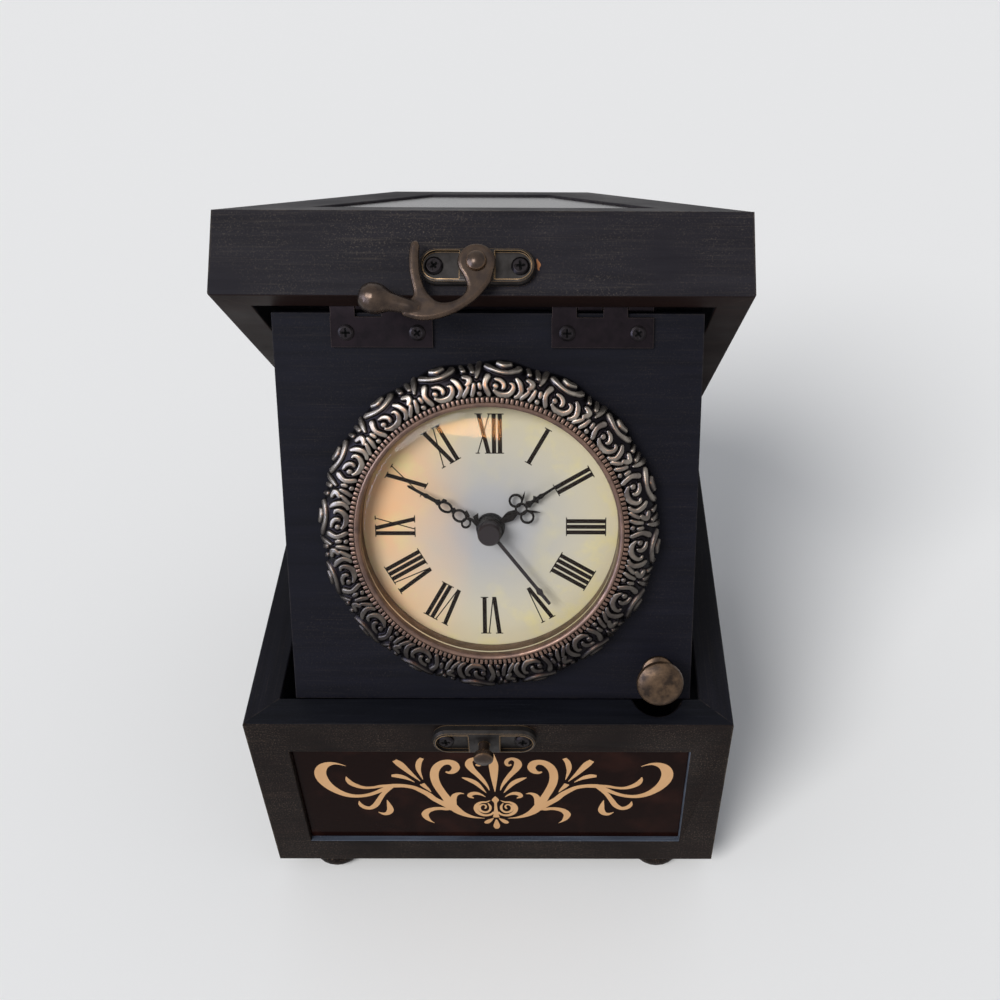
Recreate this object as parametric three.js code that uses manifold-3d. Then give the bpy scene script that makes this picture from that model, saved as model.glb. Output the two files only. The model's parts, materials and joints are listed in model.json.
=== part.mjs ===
// Clock diversion safe: a mitred wooden box whose hip-roofed lid carries a fold-down clock panel.
// Millimetres, +Z up, front towards -Y. The origin is on the ground, centred under the open box.
import * as THREE from 'three';
import Module from 'manifold-3d';
import { mergeVertices, toCreasedNormals } from 'three/addons/utils/BufferGeometryUtils.js';

const wasm = await Module();
wasm.setup();

// Case
const caseWidth = 150;
const caseDepth = 150;
const caseHeight = 76.5;
const wallThickness = 10;
const floorThickness = 5;
const footHeight = 8.5;
const footRadius = 8.8;
const footInsetX = 18.7;
const footInsetY = 9.6;
const windowStile = 12.2;
const windowTopRail = 14.2;
const windowBottomRail = 11.5;
const windowDepth = 2.4;
const scoopTilt = 56;
const scoopShift = 3;
const scoopClearance = 1;
const inlayThickness = 0.5;

// Lid
const lidGap = 0.3;
const lidRailHeight = 24.4;
const lidRailThickness = 10;
const roofInset = 44;
const roofRise = 24;
const roofBoardDrop = 5.4;
const roofPanelMargin = 8;
const roofPanelHipMargin = 15;
const roofPanelDepth = 1.4;
const roofPanelCutHeight = 10;

// Clock panel
const panelSideClearance = 3.5;
const panelRearClearance = 6.1;
const panelThickness = 8;
const panelOffsetX = 1;
const panelTopGap = 2;
const panelPinRise = 1;
const panelFootGap = 0.83;
const panelFootDrop = 1.03;
const stopWidth = 84;
const stopHeight = 9;
const stopThickness = 2;
const stopDrop = 2.1;

// Hinges
const hingeLength = 29;
const leafThickness = 0.9;
const leafReach = 10.1;
const leafNotch = 0.4;
const panelLeafNotch = 1.4;
const knuckleRadius = 1.6;
const knuckleCount = 4;
const knuckleGap = 0.3;
const pinRadius = 0.75;
const pinClearance = 0.08;
const hingeScrewSpacing = 20.2;
const hingeScrewRadius = 2.3;
const hingeScrewRise = 0.6;
const panelHingeInsets = [31.3, 29];
const rearHingeInset = 33;

// Latch
const latchX = -1.3;
const latchPivotHeight = 7.8;
const latchPlateLength = 32;
const latchPlateWidth = 10.2;
const latchPlateRise = 3.4;
const plateLip = 1.1;
const plateDish = 1.5;
const plateBossWidth = 9.6;
const latchScrewSpacing = 23.6;
const latchScrewRadius = 2.6;
const catchDrop = 5.5;
const hookThickness = 2.3;
const hookEyeRadius = 5.2;
const hookBallRadius = 4.3;
const rivetRadius = 2.9;
const rivetShank = 1.9;
const studShankRadius = 1.6;
const studNeckRadius = 1.75;
const studHeadRadius = 3.1;
const studReach = 9.6;

// Clock
const bezelTopMargin = 12;
const bezelFootMargin = 5.6;
const bezelRimWidth = 10.3;
const bezelHeight = 9.6;
const bezelLobes = 16;
const bezelSteps = 6;
const ringGap = 0.3;
const ringWidth = 2.7;
const ringHeight = 10;
const ringSteps = 72;
const glassThickness = 1.2;
const glassDome = 4.2;
const dialMargin = 0.7;
const dialThickness = 0.8;
const movementSide = 56;
const movementDepth = 16;
const bushingRadius = 4;
const batteryRadius = 7.1;
const batteryLength = 50;
const hourHandLength = 25.3;
const minuteHandLength = 27.6;
const secondHandLength = 28.8;
const handThickness = 0.5;
const hourAngle = 56;
const minuteAngle = 299.7;
const secondAngle = 142;
const hubCapRadius = 3.45;
const hubCapHeight = 3.9;
const pullInsetX = 10.4;
const pullInsetY = 9.8;
const pullHeadRadius = 7.2;
const pullHeight = 12.2;

// Clearances
const seat = 0.3;
const slide = 0.15;
const running = 0.3;

// Derived places, in the closed box's own frame: the case's front face is y = 0
const rimHeight = footHeight + caseHeight;
const hingeAxisY = caseDepth + seat + knuckleRadius;
const hingeAxisZ = rimHeight + lidGap / 2;
const lidBottom = rimHeight + lidGap;
const panelPinY = lidRailThickness + seat + knuckleRadius;
const panelPinZ = lidBottom + panelPinRise;
const innerWidth = caseWidth - 2 * wallThickness;
const innerDepth = caseDepth - 2 * wallThickness;
const panelWidth = innerWidth - 2 * panelSideClearance;
const panelHeight = caseDepth - lidRailThickness - panelRearClearance - panelPinY - panelTopGap;
const panelFaceRise = knuckleRadius - leafThickness - seat;
const pullX = panelWidth / 2 - pullInsetX;
const pullDrop = panelHeight - pullInsetY;
const bezelRadius = (panelHeight - bezelTopMargin - bezelFootMargin) / 2;
const clockDrop = bezelTopMargin + bezelRadius;
const bezelBore = bezelRadius - bezelRimWidth;
const ringOuterRadius = bezelBore - ringGap;
const ringInnerRadius = ringOuterRadius - ringWidth;
const dialRadius = bezelBore - dialMargin;
const hookBase = latchPlateRise + running;
const radians = THREE.MathUtils.degToRad;

// The open pose: the lid rests where the panel, hinged to it, stands with its foot on the strip behind the front wall
const hingePoint = new THREE.Vector2(hingeAxisY, hingeAxisZ);
const footPoint = new THREE.Vector2(wallThickness + panelFootGap, rimHeight - panelFootDrop);
const shutPin = new THREE.Vector2(panelPinY, panelPinZ).sub(hingePoint);
const panelReach = Math.hypot(panelTopGap + panelHeight, panelFaceRise);
const baseLine = footPoint.clone().sub(hingePoint);
const alongBase = (shutPin.lengthSq() - panelReach ** 2 + baseLine.lengthSq()) / (2 * baseLine.length());
const offBase = Math.sqrt(shutPin.lengthSq() - alongBase ** 2);
const baseTurn = baseLine.angle();
const openPin = new THREE.Vector2(alongBase, -offBase).rotateAround(new THREE.Vector2(), baseTurn);
const lidOpening = THREE.MathUtils.radToDeg(shutPin.angle() - openPin.angle());
const pinToFoot = openPin.clone().add(hingePoint).sub(footPoint);
const panelLean = THREE.MathUtils.radToDeg(Math.atan2(pinToFoot.x, pinToFoot.y)
  - Math.atan2(panelFaceRise, panelTopGap + panelHeight));
const foldAngle = 90 + panelLean - lidOpening;
const rearReach = hingeAxisY + Math.sin(radians(lidOpening)) * (lidBottom + lidRailHeight - hingeAxisZ)
  - Math.cos(radians(lidOpening)) * (hingeAxisY - caseDepth);
const originY = (rearReach - studReach) / 2;

// Finishes
const finish = (color, roughness, metalness = 0) => new THREE.MeshStandardMaterial({ color, roughness, metalness });
const blackWood = finish('#17161a', 0.5);
const lacquerPanel = finish('#1d100c', 0.25);
const roofPrint = finish('#3a3a40', 0.2);
const antiqueBrass = finish('#5d5142', 0.45, 0.9);
const antiqueBronze = finish('#3b3330', 0.5, 0.85);
const copper = finish('#7a4c34', 0.4, 0.9);
const dialPaper = finish('#dccfa8', 0.8);
const clearGlass = finish('#e8f0f0', 0.05);
const handMetal = finish('#17120f', 0.45, 0.6);
const blackPlastic = finish('#151515', 0.6);
const cellLabel = finish('#3d6b46', 0.5, 0.3);

// Solid helpers
const toSolid = (geometry) => {
  const bare = geometry.clone();
  bare.deleteAttribute('normal');
  bare.deleteAttribute('uv');
  const merged = mergeVertices(bare, 1e-4);
  const mesh = new wasm.Mesh({
    numProp: 3,
    vertProperties: Float32Array.from(merged.attributes.position.array),
    triVerts: Uint32Array.from(merged.index.array),
  });
  return new wasm.Manifold(mesh);
};
const toGeometry = (solid) => {
  const mesh = solid.getMesh();
  const geometry = new THREE.BufferGeometry();
  geometry.setAttribute('position', new THREE.BufferAttribute(mesh.vertProperties, 3));
  geometry.setIndex(new THREE.BufferAttribute(mesh.triVerts, 1));
  return toCreasedNormals(geometry, Math.PI / 6);
};
const cut = (body, ...tools) => toGeometry(tools.reduce((solid, tool) => solid.subtract(toSolid(tool)), toSolid(body)));
const join = (first, ...rest) => toGeometry(rest.reduce((solid, body) => solid.add(toSolid(body)), toSolid(first)));
const group = (parent) => {
  const made = new THREE.Group();
  parent.add(made);
  return made;
};
const place = (parent, name, geometry, material) => {
  const mesh = new THREE.Mesh(geometry, material);
  mesh.name = name;
  parent.add(mesh);
  return mesh;
};

// Shape helpers
const block = (sizeX, sizeY, sizeZ, x, y, z) => new THREE.BoxGeometry(sizeX, sizeY, sizeZ).translate(x, y, z);
const outline = (points) => new THREE.Shape(points.map(([x, y]) => new THREE.Vector2(x, y)));
const prism = (shape, depth, curveSegments = 16) => (
  new THREE.ExtrudeGeometry(shape, { depth, curveSegments, bevelEnabled: false }));
const turned = (profile, segments) => {
  const points = profile.map(([radius, height]) => new THREE.Vector2(radius, height));
  return new THREE.LatheGeometry(points, segments).rotateX(Math.PI / 2);
};
const roundBar = (radius, length, segments = 24) => new THREE.CylinderGeometry(radius, radius, length, segments);
const stadium = (length, width) => {
  const half = (length - width) / 2;
  const shape = new THREE.Shape();
  shape.absarc(half, 0, width / 2, -Math.PI / 2, Math.PI / 2, false);
  shape.absarc(-half, 0, width / 2, Math.PI / 2, 1.5 * Math.PI, false);
  return shape;
};

// A board with mitred ends: outer face on y = 0, inner face towards +Y
const mitredBoard = (length, thickness, height) => {
  const half = length / 2;
  return prism(outline([[-half, 0], [half, 0], [half - thickness, thickness], [-half + thickness, thickness]]), height);
};

// The four sides of the square box, as turns about its centre
const sideNames = ['front', 'right', 'rear', 'left'];
const sideFrame = (parent, side) => {
  const frame = group(parent);
  frame.position.y = caseDepth / 2;
  frame.rotation.z = side * Math.PI / 2;
  const board = group(frame);
  board.position.y = -(side % 2 === 0 ? caseDepth : caseWidth) / 2;
  return board;
};
const sideLength = (side) => (side % 2 === 0 ? caseWidth : caseDepth);

const safe = new THREE.Group();
const box = group(safe);
box.position.y = -originY;

// Case walls: the front one has a routed window for its printed inlay and a scoop that the pull swings through
const windowWidth = caseWidth - 2 * windowStile;
const windowHeight = caseHeight - windowTopRail - windowBottomRail;
const windowCentreZ = windowBottomRail + windowHeight / 2;
const pullScoop = () => {
  const scoop = roundBar(pullHeadRadius + scoopClearance, 4 * wallThickness, 32).rotateX(-radians(scoopTilt));
  return scoop.translate(pullX + panelOffsetX, wallThickness + scoopShift, caseHeight);
};
sideNames.forEach((name, side) => {
  const board = sideFrame(box, side);
  board.position.z = footHeight;
  let wall = mitredBoard(sideLength(side), wallThickness, caseHeight);
  if (name === 'front') {
    const window = block(windowWidth, 2 * windowDepth, windowHeight, 0, 0, windowCentreZ);
    wall = cut(wall, window, pullScoop());
  }
  place(board, `case_${name}_wall`, wall, blackWood);
});
const floorZ = footHeight + floorThickness / 2;
place(box, 'case_floor', block(innerWidth - 2 * slide, innerDepth - 2 * slide, floorThickness, 0, caseDepth / 2,
  floorZ), blackWood);
const inlayY = windowDepth - inlayThickness / 2;
place(box, 'front_inlay', block(windowWidth - 2 * slide, inlayThickness, windowHeight - 2 * slide, 0, inlayY,
  footHeight + windowCentreZ), lacquerPanel);

// Turned bun feet
const footProfile = [[0, 0], [0.62, 0], [0.84, 0.12], [0.97, 0.35], [1, 0.55], [0.95, 0.78], [0.8, 0.93], [0.8, 1], [0, 1]];
const foot = turned(footProfile.map(([r, h]) => [r * footRadius, h * footHeight]), 24);
for (const [name, x, y] of [
  ['foot_front_left', -1, footInsetY],
  ['foot_front_right', 1, footInsetY],
  ['foot_rear_left', -1, caseDepth - footInsetY],
  ['foot_rear_right', 1, caseDepth - footInsetY],
]) {
  place(box, name, foot, blackWood).position.set(x * (caseWidth / 2 - footInsetX), y, 0);
}

// The strip inside the front wall that the opened panel's foot stands on
place(box, 'panel_foot_strip', block(stopWidth, stopThickness, stopHeight, 0, wallThickness + stopThickness / 2,
  rimHeight - stopDrop - stopHeight / 2), blackWood);

// Catch plate and stud on the case front, drawn in a frame whose +Z points out of the front face
const faceFrame = (parent, x, y, z) => {
  const frame = group(parent);
  frame.position.set(x, y, z);
  frame.rotation.x = Math.PI / 2;
  return frame;
};
const plateShell = (length, width, rise) => {
  const edge = rise * 0.45;
  const shape = stadium(length - 2 * edge, width - 2 * edge);
  return new THREE.ExtrudeGeometry(shape, {
    depth: rise - edge, curveSegments: 8, bevelThickness: edge, bevelSize: edge, bevelSegments: 2,
  });
};
const screwHead = (radius, rise) => turned([[0, 0], [radius, 0], [radius, rise * 0.4], [radius * 0.75, rise],
  [0, rise]], 14);
const crossHead = (radius, rise) => {
  const slotLength = radius * 1.15;
  const slotWidth = radius * 0.24;
  const depth = rise * 0.7;
  const cross = join(block(slotLength, slotWidth, depth, 0, 0, rise), block(slotWidth, slotLength, depth, 0, 0, rise));
  return cut(screwHead(radius, rise), cross);
};
const plateScrewRise = 0.9;
const platePair = (parent, plateName, screwNames, hole) => {
  const flat = plateShell(latchPlateLength, latchPlateWidth, latchPlateRise);
  const below = block(2 * latchPlateLength, 2 * latchPlateWidth, 8, 0, 0, -4);
  const dishes = prism(stadium(latchPlateLength - 2 * plateLip, latchPlateWidth - 2 * plateLip), 2 * plateDish, 8)
    .translate(0, 0, latchPlateRise - plateDish);
  const boss = block(plateBossWidth, latchPlateWidth, 8, 0, 0, latchPlateRise - plateDish);
  const bore = turned([[0, -1], [hole, -1], [hole, 9], [0, 9]], 16);
  place(parent, plateName, cut(flat, below, bore, cut(dishes, boss)), antiqueBronze);
  screwNames.forEach((name, index) => {
    const screw = place(parent, name, crossHead(latchScrewRadius, plateScrewRise), antiqueBronze);
    screw.position.set((index === 0 ? -1 : 1) * latchScrewSpacing / 2, 0, latchPlateRise - plateDish + 0.02);
  });
};
const catchFrame = faceFrame(box, latchX, 0, rimHeight - catchDrop);
platePair(catchFrame, 'catch_plate', ['catch_screw_left', 'catch_screw_right'], studShankRadius + slide);
const studFoot = latchPlateRise + slide;
const studHeadBack = hookBase + hookThickness + 0.8;
place(catchFrame, 'catch_stud', turned([
  [0, slide], [studShankRadius, slide], [studShankRadius, studFoot], [studNeckRadius, studFoot],
  [studNeckRadius, studHeadBack - 0.5], [studHeadRadius * 0.85, studHeadBack], [studHeadRadius, studHeadBack + 0.6],
  [studHeadRadius * 0.97, studReach - 0.7], [studHeadRadius * 0.75, studReach - 0.1], [0, studReach],
], 24), antiqueBrass);

// Butt hinges, each leaf drawn with its pin on the X axis, the wood's face towards -Z and the plate running towards -Y.
// The plate's underside is at plateZ: against the wood for the lid's leaves, level with the knuckles' front for the panel's.
const knuckleLength = hingeLength / knuckleCount;
const leafScrewY = -knuckleRadius - leafReach * 0.58;
const hingeLeaf = (knuckles, plateZ, notch, withScrews) => {
  const plateTop = -knuckleRadius - notch;
  const plateBottom = -knuckleRadius - leafReach;
  const middleZ = plateZ + leafThickness / 2;
  const plate = block(hingeLength, plateTop - plateBottom, leafThickness, 0, (plateTop + plateBottom) / 2, middleZ);
  const overlap = 0.5;
  const pieces = knuckles.map((index) => {
    const x = (index + 0.5) * knuckleLength - hingeLength / 2;
    const length = knuckleLength - knuckleGap;
    return [
      roundBar(knuckleRadius, length, 16).rotateZ(Math.PI / 2).translate(x, 0, 0),
      block(length, overlap - plateTop, leafThickness, x, (plateTop - overlap) / 2, middleZ),
    ];
  }).flat();
  const screws = [-1, 1].map((end) => screwHead(hingeScrewRadius, hingeScrewRise)
    .translate(end * hingeScrewSpacing / 2, leafScrewY, plateZ + leafThickness - 0.01));
  const bore = roundBar(pinRadius + pinClearance, 2 * hingeLength, 16).rotateZ(Math.PI / 2);
  return cut(join(plate, ...pieces, ...(withScrews ? screws : [])), bore);
};
const hingePin = () => roundBar(pinRadius, hingeLength - knuckleGap, 16).rotateZ(Math.PI / 2);

// Lid: everything below is placed as if the lid were shut, inside a group that turns on the rear hinge
const lidPivot = group(box);
lidPivot.position.set(0, hingeAxisY, hingeAxisZ);
lidPivot.rotation.x = -radians(lidOpening);
const lid = group(lidPivot);
lid.position.set(0, -hingeAxisY, -hingeAxisZ);
sideNames.forEach((name, side) => {
  const board = sideFrame(lid, side);
  board.position.z = lidBottom;
  place(board, `lid_${name}_rail`, mitredBoard(sideLength(side), lidRailThickness, lidRailHeight - seat), blackWood);
});

// Hip roof: a square frustum hollowed from below, with a shallow trapezoid recess in each slope
const frustum = (bottomX, bottomY, inset, rise) => {
  const half = Math.SQRT2 / 2;
  const cone = new THREE.CylinderGeometry(half, half, rise, 4, 1).rotateX(Math.PI / 2).rotateZ(Math.PI / 4);
  const position = cone.attributes.position;
  for (let i = 0; i < position.count; i += 1) {
    const upper = position.getZ(i) > 0 ? inset : 0;
    position.setX(i, position.getX(i) * (bottomX - 2 * upper));
    position.setY(i, position.getY(i) * (bottomY - 2 * upper));
  }
  return cone.translate(0, 0, rise / 2);
};
const roofSlope = Math.atan2(roofRise, roofInset);
const slopeLength = Math.hypot(roofRise, roofInset);
const hipShift = roofPanelHipMargin * Math.hypot(roofInset, slopeLength) / slopeLength;
const slopeOutline = (length, shrink) => {
  const low = roofPanelMargin + shrink;
  const high = slopeLength - roofPanelMargin - shrink;
  const halfAt = (v) => length / 2 - v * roofInset / slopeLength - hipShift - shrink;
  return outline([[-halfAt(low), low], [halfAt(low), low], [halfAt(high), high], [-halfAt(high), high]]);
};
const onSlope = (geometry, side) => {
  const turn = side * Math.PI / 2;
  const reach = (side % 2 === 0 ? caseDepth : caseWidth) / 2;
  return geometry.rotateX(roofSlope).translate(0, -reach, 0).rotateZ(turn);
};
const roofInner = frustum(caseWidth - 2 * lidRailThickness, caseDepth - 2 * lidRailThickness,
  roofInset - roofBoardDrop / Math.tan(roofSlope), roofRise - roofBoardDrop);
const roofCuts = sideNames.map((name, side) => onSlope(prism(slopeOutline(sideLength(side), 0), roofPanelCutHeight)
  .translate(0, 0, -roofPanelDepth), side));
const roof = cut(frustum(caseWidth, caseDepth, roofInset, roofRise), roofInner, ...roofCuts);
const roofFrame = group(lid);
roofFrame.position.set(0, caseDepth / 2, lidBottom + lidRailHeight);
place(roofFrame, 'lid_roof', roof, blackWood);
sideNames.forEach((name, side) => {
  const sheet = prism(slopeOutline(sideLength(side), slide), inlayThickness).translate(0, 0, seat - roofPanelDepth);
  place(roofFrame, `roof_inlay_${name}`, onSlope(sheet, side), roofPrint);
});

// Rear hinges: the case leaf hangs down the rear wall, the lid leaf runs up the lid's rear rail
['left', 'right'].forEach((hand, index) => {
  const x = (index === 0 ? -1 : 1) * (caseWidth / 2 - rearHingeInset);
  const caseLeaf = group(box);
  caseLeaf.position.set(x, hingeAxisY, hingeAxisZ);
  caseLeaf.rotation.set(-Math.PI / 2, 0, Math.PI);
  place(caseLeaf, `rear_hinge_${hand}_case_leaf`, hingeLeaf([0, 2], -knuckleRadius, leafNotch, true), antiqueBronze);
  const lidLeaf = group(lid);
  lidLeaf.position.set(x, hingeAxisY, hingeAxisZ);
  lidLeaf.rotation.x = -Math.PI / 2;
  place(lidLeaf, `rear_hinge_${hand}_lid_leaf`, hingeLeaf([0, 2], -knuckleRadius, leafNotch, true), antiqueBronze);
  place(box, `rear_hinge_${hand}_pin`, hingePin(), antiqueBronze).position.set(x, hingeAxisY, hingeAxisZ);
});

// Latch on the lid's front rail: plate, swing hook and rivet
const latchFrame = faceFrame(lid, latchX, 0, lidBottom + latchPivotHeight);
platePair(latchFrame, 'latch_plate', ['latch_screw_left', 'latch_screw_right'], rivetShank + slide);
const hookShape = () => {
  const eye = Array.from({ length: 23 }, (unused, i) => {
    const angle = radians(-20 + 205 * i / 22);
    return [hookEyeRadius * Math.cos(angle), hookEyeRadius * Math.sin(angle)];
  });
  const curve = (points, steps) => new THREE.SplineCurve(points.map(([x, y]) => new THREE.Vector2(x, y)))
    .getPoints(steps).map((point) => [point.x, point.y]);
  const throat = curve([[-4.6, -2.2], [-3.2, -4.4], [-2.5, -6.6], [-3, -8.6], [-5, -10.4], [-7.8, -11.3],
    [-10.4, -11], [-12.7, -9], [-14.2, -6.3], [-15.2, -2.9], [-15.5, 1]], 26);
  const prong = curve([[-15.4, 4.6], [-15.9, 5.8], [-17, 5.9], [-17.9, 4.9], [-18.3, 1], [-18, -3.1],
    [-17.3, -6.4], [-16.8, -9], [-17.7, -10.6], [-19.6, -11.1]], 22);
  const belly = curve([[-19.6, -14.9], [-16.6, -15.9], [-13.4, -16.2], [-9.3, -15.5], [-5.2, -13.9], [-1, -11.2],
    [1.8, -8.4], [4, -5.4]], 16);
  return outline([...eye, ...throat, ...prong, ...belly]);
};
const hookBody = () => {
  const round = 0.6;
  const plate = new THREE.ExtrudeGeometry(hookShape(), {
    depth: hookThickness - 2 * round, bevelThickness: round, bevelSize: round, bevelOffset: -round, bevelSegments: 1,
  }).translate(0, 0, round);
  const leverRoot = [-15, -13.2];
  const leverTurn = Math.atan2(2.9, -12.2);
  const ballAt = 12.6;
  const lever = turned([[0, 0], [1.3, 0.3], [1.95, 2.6], [2.2, 5.2], [2.6, 8], [hookBallRadius * 0.79, 9.6],
    [hookBallRadius * 0.95, 11], [hookBallRadius, ballAt], [hookBallRadius * 0.93, ballAt + 2], [hookBallRadius * 0.68, ballAt + 3.6],
    [hookBallRadius * 0.33, ballAt + 4.3], [0, ballAt + 4.4]], 24).rotateY(Math.PI / 2)
    .rotateZ(leverTurn).translate(leverRoot[0], leverRoot[1], hookThickness / 2 + 0.4);
  const bore = turned([[0, -2], [rivetShank + slide, -2], [rivetShank + slide, 9], [0, 9]], 18);
  return cut(join(plate, lever), bore);
};
place(latchFrame, 'latch_hook', hookBody(), antiqueBrass).position.z = hookBase;
const rivetTop = hookBase + hookThickness + slide;
place(latchFrame, 'latch_rivet', turned([[0, slide], [rivetShank, slide], [rivetShank, rivetTop], [rivetRadius, rivetTop],
  [rivetRadius * 0.9, rivetTop + 0.9], [rivetRadius * 0.6, rivetTop + 1.7], [0, rivetTop + 2.1]], 20), antiqueBrass);

// Clock panel: drawn upright in a frame on its hinge pin, x to the right, y up, z out of the clock's face
const panelPivot = group(lid);
panelPivot.position.set(0, panelPinY, panelPinZ);
panelPivot.rotation.x = Math.PI - radians(foldAngle);
const face = group(panelPivot);
face.position.set(panelOffsetX, -panelTopGap, panelFaceRise);
const clockBore = bushingRadius + running;
place(face, 'clock_panel', cut(block(panelWidth, panelHeight, panelThickness, 0, -panelHeight / 2, -panelThickness / 2),
  roundBar(clockBore, 4 * panelThickness, 32).rotateX(Math.PI / 2).translate(0, -clockDrop, 0)), blackWood);
panelHingeInsets.forEach((inset, index) => {
  const hand = index === 0 ? 'left' : 'right';
  const x = panelOffsetX + (index === 0 ? -1 : 1) * (panelWidth / 2 - inset);
  const panelLeaf = group(panelPivot);
  panelLeaf.position.x = x;
  const plateZ = knuckleRadius - leafThickness;
  place(panelLeaf, `panel_hinge_${hand}_panel_leaf`, hingeLeaf([0, 2], plateZ, panelLeafNotch, false), antiqueBronze);
  [-1, 1].forEach((end) => {
    const screw = place(panelLeaf, `panel_hinge_${hand}_screw_${end < 0 ? 'left' : 'right'}`,
      crossHead(hingeScrewRadius, hingeScrewRise), antiqueBronze);
    screw.position.set(end * hingeScrewSpacing / 2, leafScrewY, knuckleRadius + slide);
  });
  const railLeaf = group(lid);
  railLeaf.position.set(x, panelPinY, panelPinZ);
  railLeaf.rotation.x = -Math.PI / 2;
  place(railLeaf, `panel_hinge_${hand}_rail_leaf`, hingeLeaf([1, 3], -knuckleRadius, leafNotch, true), antiqueBronze);
  place(lid, `panel_hinge_${hand}_pin`, hingePin(), antiqueBronze).position.set(x, panelPinY, panelPinZ);
});

// Pull knob, screwed to the panel's lower corner
const pull = place(face, 'pull_knob', turned([[0, slide], [4.9, slide], [4.9, 1.2], [3.6, 2], [3, 4], [3.4, 7.2],
  [pullHeadRadius * 0.88, 8], [pullHeadRadius, 9.2], [pullHeadRadius * 0.97, 10.4], [pullHeadRadius * 0.8, 11.4],
  [pullHeadRadius * 0.4, pullHeight - 0.15], [0, pullHeight]], 28), antiqueBrass);
pull.position.set(pullX, -pullDrop, 0);

// Clock: a cast bezel with a scalloped outer edge, an inner milled ring, domed glass and a printed dial
const clock = group(face);
clock.position.y = -clockDrop;
const bezelProfile = [[bezelBore, seat], [bezelRadius, seat], [bezelRadius, bezelHeight - 7],
  [bezelRadius - 0.6, bezelHeight - 4.4], [bezelRadius - 2.2, bezelHeight - 1.8], [bezelRadius - 4.8, bezelHeight - 0.4],
  [bezelRadius - 7.6, bezelHeight], [bezelBore + 0.9, bezelHeight - 0.6], [bezelBore, bezelHeight - 2], [bezelBore, seat]];
const bezel = () => {
  const segments = bezelLobes * bezelSteps;
  const geometry = turned(bezelProfile, segments);
  const position = geometry.attributes.position;
  for (let i = 0; i < position.count; i += 1) {
    const radius = Math.hypot(position.getX(i), position.getY(i));
    const outside = Math.max(0, (radius - bezelBore) / (bezelRadius - bezelBore));
    const wave = Math.abs(Math.sin(Math.atan2(position.getY(i), position.getX(i)) * bezelLobes / 2));
    const scale = 1 - (1 - wave) * outside * 0.9 / radius;
    position.setX(i, position.getX(i) * scale);
    position.setY(i, position.getY(i) * scale);
  }
  return geometry;
};
place(clock, 'clock_bezel', bezel(), antiqueBrass);
const milledRing = () => {
  const lip = ringOuterRadius - 1.2;
  const base = dialThickness + 2 * seat;
  const profile = [[ringInnerRadius + 0.8, base], [ringOuterRadius, base], [ringOuterRadius, ringHeight - 1.8],
    [ringOuterRadius + 0.2, ringHeight - 0.6], [lip + 0.3, ringHeight], [lip - 0.5, ringHeight - 0.8],
    [ringInnerRadius + 0.4, ringHeight - 1.1], [ringInnerRadius, ringHeight - 2.8], [ringInnerRadius, ringHeight - 6],
    [ringInnerRadius + 0.8, base]];
  return turned(profile, ringSteps);
};
place(clock, 'milled_ring', milledRing(), copper);
const glassRadius = ringInnerRadius - slide;
const domeHeight = (radius) => glassDome * (1 - (radius / glassRadius) ** 2);
const glassFoot = ringHeight - 3.4;
const domeRadii = [0, 0.3, 0.6, 0.82, 1].map((share) => share * glassRadius);
place(clock, 'clock_glass', turned([
  ...domeRadii.map((radius) => [radius, glassFoot + domeHeight(radius)]),
  ...domeRadii.toReversed().map((radius) => [radius, glassFoot + glassThickness + domeHeight(radius)]),
], 48), clearGlass);
const dialTop = seat + dialThickness;
place(clock, 'dial', turned([[clockBore, seat], [dialRadius, seat], [dialRadius, dialTop], [clockBore, dialTop],
  [clockBore, seat]], 48), dialPaper);

// Movement on the panel's back: case with threaded bushing, nut, battery and setting wheel
const movementBack = -panelThickness - seat - movementDepth;
const bushingTop = 2.9;
const movement = () => {
  const body = block(movementSide, movementSide, movementDepth, 0, 0, movementBack + movementDepth / 2);
  const bushing = turned([[0, -panelThickness - seat - 1], [bushingRadius, -panelThickness - seat - 1], [bushingRadius, bushingTop],
    [0, bushingTop]], 28);
  const bay = block(batteryLength + 2, 2 * batteryRadius + 0.8, 2 * batteryRadius + 0.2, 0, -movementSide / 4 - 2, movementBack);
  return cut(join(body, bushing), bay);
};
place(clock, 'movement_case', movement(), blackPlastic);
const cell = turned([[0, 0], [batteryRadius, 0], [batteryRadius, batteryLength - 1.4], [2.7, batteryLength - 1.4],
  [2.7, batteryLength], [0, batteryLength]], 20).rotateY(Math.PI / 2).translate(-batteryLength / 2, 0, 0);
place(clock, 'battery', cell, cellLabel).position.set(0, -movementSide / 4 - 2, movementBack);
const settingWheel = place(clock, 'setting_wheel', turned([[0, 0], [6.5, 0], [6.5, 3], [5.6, 3.6], [0, 3.6]], 24), blackPlastic);
settingWheel.position.set(0, movementSide / 4, movementBack - 3.6 - running);
const nutBase = dialTop + 0.1;
place(clock, 'dial_nut', cut(turned([[0, 0], [5.4, 0], [5.4, 1.1], [4.9, 1.5], [0, 1.5]], 6), turned([[0, -1],
  [bushingRadius + pinClearance, -1], [bushingRadius + pinClearance, 3], [0, 3]], 28)).translate(0, 0, nutBase), antiqueBronze);

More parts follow.
